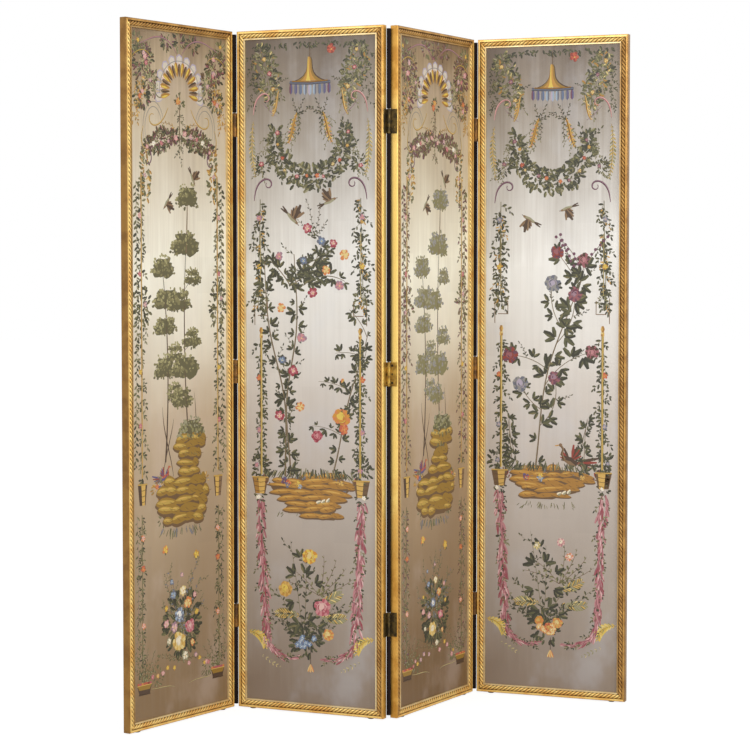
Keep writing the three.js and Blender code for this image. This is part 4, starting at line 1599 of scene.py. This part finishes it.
def first_borders(art, family):
    for _ in art.sides():
        pole(art, 154, 1440, 655, ("honey", "straw"), 46, 14, family, 5.0, 22)
        vine(art, path(174, 1420, -91, 740, (3,)), 15, 84, family, "olive", 1.0, 1, 48, 0.2)
        cluster(art, 156, 1096, 32, 50, 14, family, (MAUVE_BLOOM,), 15, 1.6)
        for v, tones in ((1330, PINK_BLOOM), (1180, RED_BLOOM), (930, GOLD_BLOOM), (790, RED_BLOOM)):
            flower(art, 160, v, 15, tones, 5)
        pole(art, 156, 560, 150, ("olive", "moss"), 30, 12, family, 2.6, 18)
        vine(art, path(176, 560, -94, 400, (10,)), 12, 36, SOFT, "mauve", 1.0, 1, 48, 0.3)
        basket(art, 154, 585, 36, 54, ("sepia", "gold", "umber"))
        for v, dark, light in ((500, "orange", "blush"), (420, "coral", "orange"), (272, "orange", "blush")):
            flower(art, 152, v, 18, (dark, light), 5)
        planter(art, 150, 118, 56, 24)
        for turn in (50, 66, 84, 100, 118, 134):
            sprig(art, 150, 122, turn, 84, 10, 11, SOFT, 0)
        cluster(art, 104, 132, 24, 34, 9, SOFT, (PINK_BLOOM, RED_BLOOM, GOLD_BLOOM), 12)
        scroll(art, path(124, 104, 190, 96, (-50, 70), 10), 2.6, "sage", "straw")


def first_design(number, seed, family, foliage, bloom):
    """bloom is the share of full size that the bouquet's flowers have."""
    art = Painting(number, seed)
    palmette(art)
    first_top(art, family)
    first_garlands(art, family)
    first_borders(art, family)
    bird(art, 52, 1432, 44, -62)
    bird(art, -52, 1366, 44, -128)
    first_trees(art, foliage)
    first_ground(art)
    for u, v, tones in ((-64, 462, ("orange", "lemon")), (62, 436, GOLD_BLOOM)):
        leaf_hand(art, u, v, 16, SOFT, 3, -90)
        flower(art, u, v, 25, tones, 5, 4)
    first_bouquet(art, bloom)
    art.finish()


DULL = SOFT + RUSSET + (("smoke", "sepia"), ("olive", "bark"))
first_design(1, 21, DARK + SOFT, OLIVE_TREE, 1.0)
first_design(3, 33, DULL, GREY_TREE, 0.74)

# %% [markdown]
# ## The second design: canopy, climber and festoons
# The second and fourth leaves carry a small gilt canopy with a scalloped valance, a crescent of leaves
# under it, flowering stems on a low island, and slender pink garlands round a lighter bouquet. The
# second leaf has a dense climber on two stems, and the fourth an open shrub with larger blooms.

# %% Canopy and crescent
CANOPY_V = 1690
BELL = [(0, 66), (4, 64), (7, 57), (8, 46), (9, 36), (12, 26), (20, 16), (32, 8), (48, 2)]
VALANCE = (("sky", "lilac"), ("slate", "sky"), ("blue", "slate"), ("violet", "slate"), ("violet", "plum"))


def canopy(art):
    right = [(u, CANOPY_V + v) for u, v in BELL]
    left = [(-u, v) for u, v in right[:0:-1]]
    for share, tone in ((1.0, "umber"), (0.82, "lichen"), (0.5, "honey"), (0.16, "lemon")):
        inner = [(u * share - 6 * (1 - share), v) for u, v in right + left]
        art.fill(inner, tone, 3 + int((1 - share) * 8))
    art.line([(0, CANOPY_V + 66), (0, CANOPY_V + 104)], 1.6, "bark", 3, (1, 0.8, 0.5))
    for index in range(9):
        u = (index - 4) * 14
        tones = VALANCE[abs(index - 4)]
        art.stamp("petal", tones, u, CANOPY_V + 5, 42 - abs(index - 4), -90, 0.5, 1 + index % 2)
        art.line([(u, CANOPY_V - 34), (u, CANOPY_V - 52)], 1.2, "slate", 0)
    art.line([(-60, CANOPY_V - 2), (0, CANOPY_V - 5), (60, CANOPY_V - 2)], 7.0, "slate", 4, EVEN)
    art.line([(-52, CANOPY_V + 2), (0, CANOPY_V - 1), (52, CANOPY_V + 2)], 3.0, "ochre", 12, EVEN)


def second_top(art, family, bloom):
    for index in range(90):
        u = art.draw(-168, 168)
        turn = -90 + art.draw(-70, 70)
        v = art.draw(1784, 1797)
        art.stamp("leaf", art.pick(family), u, v, art.vary(11, 0.3), turn, 1, index % 3)
    flower(art, 62, 1774, 30, ("brick", "coral"), 5, 4)
    for _ in art.sides():
        drop = path(148, 1786, -106, 150, (16, -34))
        blooms = (("honey", "straw"), bloom, ("ochre", "straw"))
        swag(art, drop, 34, 130, 15, SOFT + DARK + (("moss", "ochre"), ("straw", "moss")), blooms, 13)
        twigs(art, drop, 34, 18, 12, SOFT)
        twigs(art, path(176, 1780, -96, 150, (10,)), 20, 12, 9, family)
        sprig(art, 108, 1690, 178, 40, 9, 9, family, -22)


def second_scrolls(art, bloom):
    for _ in art.sides():
        volute(art, 168, 1606, 96, 110, 300, 5.0, "pink", "blush")
        frond = path(92, 1668, -70, 70, (-60, 90), 10)
        scroll(art, frond, 6.0, "honey", "straw")
        acanthus(art, frond, 12, 8, WARM, (1,))
        horn = path(38, 1608, -62, 84, (-60, 60), 10)
        scroll(art, horn, 8.0, "ochre", "gold")
        acanthus(art, horn, 12, 8, (("gold", "ochre"), ("straw", "honey"), ("husk", "gold")))
        for heading in (60, 100, 140, -100):
            sprig(art, 34, 1600, heading, 44, 10, 7, DARK, 20)
        twigs(art, horn, 26, 10, 9, SOFT)
        art.line(path(96, 1600, 20, 60, (80, -40), 8), 1.8, "mauve", 2)
        volute(art, 166, 1376, 96, 130, 400, 5.2, "plum", "mauve")
        spray = path(168, 1588, -80, 150, (-30, -14), 12)
        scroll(art, spray, 3.4, "ochre", "straw")
        greens = (("moss", "olive"), ("straw", "moss"), ("sage", "moss"), ("gold", "moss"))
        acanthus(art, spray, 12, 15, greens)
        cluster(art, 140, 1474, 20, 34, 10, DARK, (bloom,), 14)
        twigs(art, path(120, 1560, -80, 120, (10,)), 22, 12, 9, SOFT)


def crescent(art, family, bloom):
    arc = [step_out(0, 1546, turn, 104, 1.08) for turn in range(168, 373, 6)]
    blooms = (bloom, ("ochre", "gold"), ("brick", "coral"), ("sepia", "straw"), bloom, ("coral", "orange"))
    swag(art, arc, 28, 290, 17, family + SOFT, blooms + blooms[::-1], 12)
    twigs(art, arc, 32, 30, 14, family)


# %% [markdown]
# ## Climber and shrub
# Both plants are woody stems with hands of leaves. The climber winds up on two stems and is set with
# blooms at chosen places. The shrub has curved branches, and nearly every branch ends in a bloom.

# %% Climber and shrub
GROUND_V = 636


def leafy_stem(art, points, width, size, count, family, fingers=3):
    """A woody stem with hands of leaves on both sides."""
    art.line(points, width, "bark", 1, (1, 0.8, 0.4))
    art.line([(u - 0.8, v) for u, v in points], width * 0.35, "sage", 3, (1, 0.8, 0.3))
    for index in range(count):
        u, v, heading = along(points, (index + art.draws.random()) / count)
        hand = 1 if index % 2 else -1
        turn = heading + hand * art.draw(40, 110)
        leaf_hand(art, *step_out(u, v, turn, size * 0.25), art.vary(size, 0.3), family, fingers, turn)


CLIMBER_BLOOMS = [
    (-8, 1302, 0), (34, 1268, 2), (68, 1262, 0), (-92, 1228, 1), (-20, 1216, 2), (100, 1232, 3),
    (8, 1130, 0), (86, 1150, 1), (48, 1190, 3), (-84, 950, 2), (-50, 922, 0), (-86, 1090, 3),
    (-26, 1010, 1), (-92, 800, 0), (-30, 826, 3),
]
SHRUB_STEMS = [
    (0.22, 38, 150, 70), (0.3, 150, 96, -40), (0.42, 60, 170, -50), (0.5, 140, 120, 40),
    (0.64, 44, 150, 50), (0.72, 128, 130, -50), (0.86, 60, 120, 30), (0.95, 120, 110, 10),
]


def climber(art, family, blooms):
    for start, bends in ((-74, (-60, 90, -70, 40)), (-58, (60, -90, 80, -40))):
        stem = path(start, GROUND_V, 92, 600, bends, 20)
        leafy_stem(art, stem, 5.0, 23, 27, family)
        twigs(art, stem, 34, 16, 11, family)
    for start, heading, length, bend in (
        (-60, 62, 130, -50), (-56, 26, 150, 50), (-60, 122, 90, 20), (-20, 40, 130, -70), (0, 70, 120, -20)
    ):
        leafy_stem(art, path(start, 1150, heading, length, (bend,), 10), 3.2, 22, 11, family)
    for u, v, kind in CLIMBER_BLOOMS:
        flower(art, u, v, art.vary(27, 0.15), blooms[kind], 6, 5, "straw")
    for heading, length in ((60, 90), (118, 70), (84, 100), (30, 60)):
        sprig(art, 6, 1276, heading, length, 10, 12, family, 30)


def side_shrub(art, family):
    stem = path(62, GROUND_V, 70, 400, (60, -40, 50), 14)
    leafy_stem(art, stem, 4.2, 22, 16, family)
    for share, heading, length in (
        (0.3, 150, 90), (0.45, 30, 60), (0.6, 150, 100), (0.75, 50, 60), (0.85, 160, 80), (0.98, 110, 90)
    ):
        u, v, _ = along(stem, share)
        twig = path(u, v, heading, length, (30,), 6)
        leafy_stem(art, twig, 1.8, 17, 6, family)
    rose(art, 92, 800, 50, ("orange", "amber", "lemon"), 4)
    flower(art, 100, 768, 28, ("coral", "orange"), 6, 5)
    rose(art, 20, 748, 32, ("crimson", "rose", "pink"), 4)
    bud(art, 88, 886, 20, 60, ("orange", "gold"))


def open_shrub(art, family, blooms):
    """A slender shrub with curved branches and one bloom at most tips."""
    stem = path(-46, GROUND_V, 82, 560, (34, -60, 50), 16)
    leafy_stem(art, stem, 4.4, 32, 12, family)
    for index, (share, heading, length, bend) in enumerate(SHRUB_STEMS):
        u, v, _ = along(stem, share)
        branch = path(u, v, heading, length, (bend,), 10)
        leafy_stem(art, branch, 2.4, 30, 5, family)
        sprig(art, *branch[6], heading - 40, 46, 9, 8, family, 30)
        rose(art, *branch[-1], art.vary(42, 0.15), blooms[index % len(blooms)], 4)
    for heading, bend in ((70, -30), (104, 40), (130, -20)):
        berries = path(*stem[-1], heading, 130, (bend,), 8)
        art.line(berries, 1.6, "bark", 1)
        for u, v in berries[2:]:
            art.stamp("dot", "plum", u + art.draw(-5, 5), v, 9, 0, 1, 4)
    for start, lean in ((-96, 100), (-112, 92), (74, 76), (92, 84)):
        leafy_stem(art, path(start, GROUND_V - 4, lean, 150, (20, -30), 6), 1.8, 19, 9, family)


# %% [markdown]
# ## Ground and festoons
# The plants stand on a low island with grass and small flowers. On each side a basket hangs, and from it
# a slender garland of long husks that turns inwards at the foot and ends in a gilt corner scroll.

# %% Ground and festoons
EARTH = ("bark", "ochre", "honey", "gold")
HUSK_TONES = (
    ("husk", "husk_dark"), ("husk_light", "husk"), ("crimson", "husk_dark"), ("husk_dark", "husk"),
)
ISLAND = [
    (640, -20, 96), (626, -112, 118), (606, -128, 126), (588, -112, 108), (570, -70, 92),
    (552, -84, 70), (536, -40, 96), (524, -14, 80),
]
ISLAND_TOP = ISLAND[0][0]
SHALLOW = 0.74


def second_ground(art, hand):
    """The island. A hand of -1 mirrors it and makes it shallower."""
    depth = 1.0 if hand > 0 else SHALLOW
    shore = []
    for v, left, right in ISLAND:
        low, high = sorted((hand * left, hand * right))
        shore.append((ISLAND_TOP - (ISLAND_TOP - v) * depth, low, high))
    strata(art, shore, EARTH, 15.0, 78.0)
    grasses(art, 0, 634, 270, 90, SOFT + DARK, 20)
    grasses(art, -10, 530, 180, 30, SOFT, 13)
    for u, count, blooms in (
        (-74, 18, (("violet", "plum"), ("slate", "blue"), ("orange", "coral"))),
        (-30, 16, (("slate", "sky"), GOLD_BLOOM)), (84, 14, (("sepia", "gold"),)),
    ):
        cluster(art, u, 620, 18, count, 12, GREY, blooms, 22)
    for u in (24, 38, 52):
        art.stamp("patch", ("cream", "sage"), u, 566 + u * 0.2, 14, u, 0.7, 8)
    for _ in art.sides():
        basket(art, 150, 588, 48, 44)
        acanthus(art, path(122, 606, 70, 34, (-30,), 4), 14, 4, (("brick", "umber"), ("sepia", "bark")))
        cluster(art, 150, 584, 14, 20, 9, DARK, (WHITE_BLOOM,), 13)


def festoons(art):
    for _ in art.sides():
        drop = path(150, 580, -92, 370, (0, -4, 8), 16)
        curve = path(*drop[-1], -92, 126, (-130, -70), 10)
        for line, size, thick, count in ((drop, 27, 8, 130), (curve[:7], 22, 6, 30), (curve[6:], 16, 4, 12)):
            laurel(art, line, size, thick, count, HUSK_TONES)
        twigs(art, drop, 22, 22, 13, SOFT + DARK)
        twigs(art, curve, 18, 8, 11, SOFT + DARK)
        corner = path(187, 212, 186, 74, (30, 150), 10)
        scroll(art, corner, 4.0, "gold", "lemon")
        acanthus(art, corner, 17, 10, (("lemon", "moss"), ("lemon", "gold"), ("straw", "lemon")))
        low = path(150, 150, 200, 70, (50, -60), 8)
        acanthus(art, low, 8, 6, (("sage", "moss"), ("straw", "sage")))
    art.line([(0, 168), (0, 128)], 1.6, "umber", 2, EVEN)
    for turn in (-110, -90, -70):
        art.stamp("petal", ("orange", "straw"), 0, 134, 24, turn, 0.5, 3)


# %% [markdown]
# ## The second bouquet
# This bouquet is looser than the first: sprays of small leaves fan out from one knot, and a few full
# roses sit among them. The list of roses is an argument, since one leaf has large ones and one small.

# %% Second bouquet
SECOND_STEMS = (
    (84, 230, 8, 19, 14), (112, 160, 20, 18, 11), (66, 200, -20, 18, 13), (134, 120, 16, 16, 9),
    (48, 160, -26, 18, 11), (30, 130, 20, 14, 10), (150, 100, -20, 14, 8), (96, 270, 4, 12, 15),
)
SECOND_ROSES = (
    (-2, 424, 44, ("amber", "lemon", "straw")), (-74, 334, 42, ("honey", "gold", "lemon")),
    (34, 288, 48, ("rose", "pink", "blush")), (52, 216, 32, ("orange", "gold", "straw")),
)
SMALL_ROSES = (
    (30, 436, 24, ("husk", "blush", "cream")), (-40, 424, 22, ("sage", "straw", "cream")),
    (54, 396, 22, ("orange", "blush", "cream")), (-34, 214, 26, ("amber", "orange", "gold")),
    (20, 210, 30, ("orange", "gold", "straw")), (-6, 196, 24, ("coral", "orange", "gold")),
)
SECOND_HANDS = (
    (-48, 372, 36, 150), (-16, 376, 34, 60), (-50, 300, 32, 210), (-34, 240, 34, 190), (10, 304, 32, -30),
    (14, 350, 30, 30), (-30, 420, 28, 120), (-6, 250, 32, 20), (-44, 214, 30, 170), (22, 232, 28, -20),
)


def second_bouquet(art, family, roses, posy):
    for heading, length, bend, size, count in SECOND_STEMS:
        stem = path(-22, 196, heading, length, (bend,), 6)
        vine(art, stem, size, count, family, "olive")
        twigs(art, stem, 28, 4, 13, family, 3)
    for u, v, size, tones in roses:
        rose(art, u, v, size, tones, 4)
    for u, v, size, turn in SECOND_HANDS:
        leaf_hand(art, u, v, size, family, 3, turn)
    for index in range(12):
        u = -14 + art.draw(-26, 28)
        v = 192 + art.draw(-13, 13)
        flower(art, u, v, 16, posy, 5, 4, "chalk")
    cluster(art, -14, 196, 38, 40, 18, family)
    for heading in (14, 32, 50, 150, 128, 70):
        stem = path(24, 320, heading, 112, (24,), 6)
        vine(art, stem, 14, 8, SOFT)
    for u, v, heading in ((24, 300, 14), (-30, 262, 168), (30, 262, -8)):
        frond = path(u, v, heading, 74, (20,), 6)
        art.line(frond, 1.4, "moss", 1)
        acanthus(art, frond, 18, 10, (("straw", "moss"), ("gold", "olive"), ("sage", "moss")))


# %% Second design in full
def second_borders(art, family, bloom):
    for _ in art.sides():
        line = path(148, 1380, -90, 300, (8, -8), 8)
        art.line(line, 2.0, "olive", 1, EVEN)
        twigs(art, line, 28, 22, 16, family, 4)
        twigs(art, line, 20, 8, 12, WARM, 3)
        pole(art, 148, 1290, 1120, ("olive", "straw"), 6, 15, family, 2.6)
        key_bracket(art, 146, 1076, 38, 74, "sepia")
        cluster(art, 146, 1108, 18, 20, 12, SOFT)
        finial(art, 146, 1006, 20)
        pole(art, 146, 1008, 640, ("lichen_light", "straw"), 30, 15, family, 7.0, 24)
        for v, tones in ((1330, bloom), (1200, GOLD_BLOOM), (900, ("coral", "orange")), (760, bloom)):
            flower(art, 152, v, 18, tones, 5)
        cluster(art, 150, 660, 26, 34, 14, family, (bloom,), 14)


def second_design(number, seed, family, blooms, plants, hand, bouquet, flights):
    """plants draws what grows on the island. hand is the side the island leans to."""
    art = Painting(number, seed)
    canopy(art)
    second_top(art, family, blooms[0])
    second_scrolls(art, blooms[0])
    crescent(art, family, blooms[0])
    second_borders(art, family, blooms[1])
    for u, v, size, turn in flights:
        bird(art, u, v, size, turn)
    plants(art)
    second_ground(art, hand)
    festoons(art)
    second_bouquet(art, family, *bouquet)
    art.finish()


BRIGHT = [("crimson", "rose", "blush"), ("mauve", "pink"), ("slate", "blue", "sky"), ("orange", "straw")]
MUTED = [
    ("plum", "husk_dark", "mauve"), ("slate", "smoke", "lilac"), ("umber", "husk_dark", "husk"),
    ("plum", "brick", "husk_dark"),
]
LEAFY = DARK + (("leaf", "pine"), ("bottle", "leaf"))
FIRST_FLIGHT = ((56, 1372, 50, 24), (-54, 1330, 56, -44))
SECOND_FLIGHT = ((44, 1360, 46, 200), (-64, 1330, 50, 150))
FULL = (SECOND_ROSES, ("blue", "sky"))
LIGHT = (SMALL_ROSES, ("orange", "straw"))


def climbing_plants(art):
    climber(art, LEAFY, BRIGHT)
    side_shrub(art, LEAFY)


def open_plants(art):
    open_shrub(art, LEAFY, MUTED)
    standing_bird(art, 62, GROUND_V, 74, -1, ("umber", "brick", "sepia"))


second_design(2, 52, LEAFY, BRIGHT, climbing_plants, 1, FULL, FIRST_FLIGHT)
second_design(4, 64, LEAFY, MUTED, open_plants, -1, LIGHT, SECOND_FLIGHT)

# %% [markdown]
# ## The floor
# The screen stands on a plain pale floor, which fades into the white background because it also glows
# a little where the camera sees it. The shadow under the leaves stays.

# %% Floor
FLOOR_REACH = 30
GLOW_SHARE = 0.72


def pale_floor():
    finish = Finish("pale_floor")
    camera_ray = finish.node("ShaderNodeLightPath", output="Is Camera Ray")
    speckle = finish.noise(finish.place(), 3.0, 2.0, 0.5)
    colour = finish.mix(speckle, (0.86, 0.86, 0.86, 1), (0.9, 0.9, 0.9, 1))
    matte = finish.node("ShaderNodeBsdfDiffuse", None, {"Color": colour})
    glow = finish.node("ShaderNodeEmission", None, {"Color": (1, 1, 1, 1), "Strength": 1.2})
    both = finish.node("ShaderNodeMixShader", None, {0: camera_ray * GLOW_SHARE, 1: matte, 2: glow})
    return finish.close(both)


bm = bmesh.new()
bmesh.ops.create_grid(bm, x_segments=2, y_segments=2, size=FLOOR_REACH)
floor_mesh = as_mesh(bm, "floor")
floor_mesh.materials.append(pale_floor())
floor = add_object("floor", floor_mesh)

# %% [markdown]
# ## Lamps and world
# Two broad lamps from the left and right light both sets of leaves. The world is white where the camera
# or a reflection looks at it, and dimmer where it lights the object, so that a colour renders about as
# it is written.

# %% Lamps and world
LAMP_TARGET = (0, 0, 0.95)
LAMP_SIZE = (2.4, 3.0)
WORLD_LIGHT = 0.62


def lamp(name, place, power):
    light = bpy.data.lights.new(name, "AREA")
    light.shape = "RECTANGLE"
    light.size, light.size_y = LAMP_SIZE
    light.energy = power
    made = add_object(name, light)
    made.location = place
    made.rotation_euler = (Vector(LAMP_TARGET) - Vector(place)).to_track_quat("-Z", "Y").to_euler()
    made.visible_camera = False


def studio_world():
    sky = Finish("studio", bpy.data.worlds.new("studio"))
    camera_ray = sky.node("ShaderNodeLightPath", output="Is Camera Ray")
    glossy_ray = sky.node("ShaderNodeLightPath", output="Is Glossy Ray")
    through_ray = sky.node("ShaderNodeLightPath", output="Is Transmission Ray")
    seen = camera_ray.math("MAXIMUM", camera_ray, glossy_ray)
    seen = seen.math("MAXIMUM", seen, through_ray)
    strength = WORLD_LIGHT + seen * (1 - WORLD_LIGHT)
    shine = sky.node("ShaderNodeBackground", None, {"Color": (1, 1, 1, 1), "Strength": strength})
    return sky.close(shine, "ShaderNodeOutputWorld")


lamp("key_left", (-3.2, -4.6, 3.0), 84)
lamp("fill_right", (4.2, -3.6, 2.4), 120)
bpy.context.scene.world = studio_world()
print("lamps", len(bpy.data.lights))
bpy.context.scene.view_settings.view_transform = "Standard"
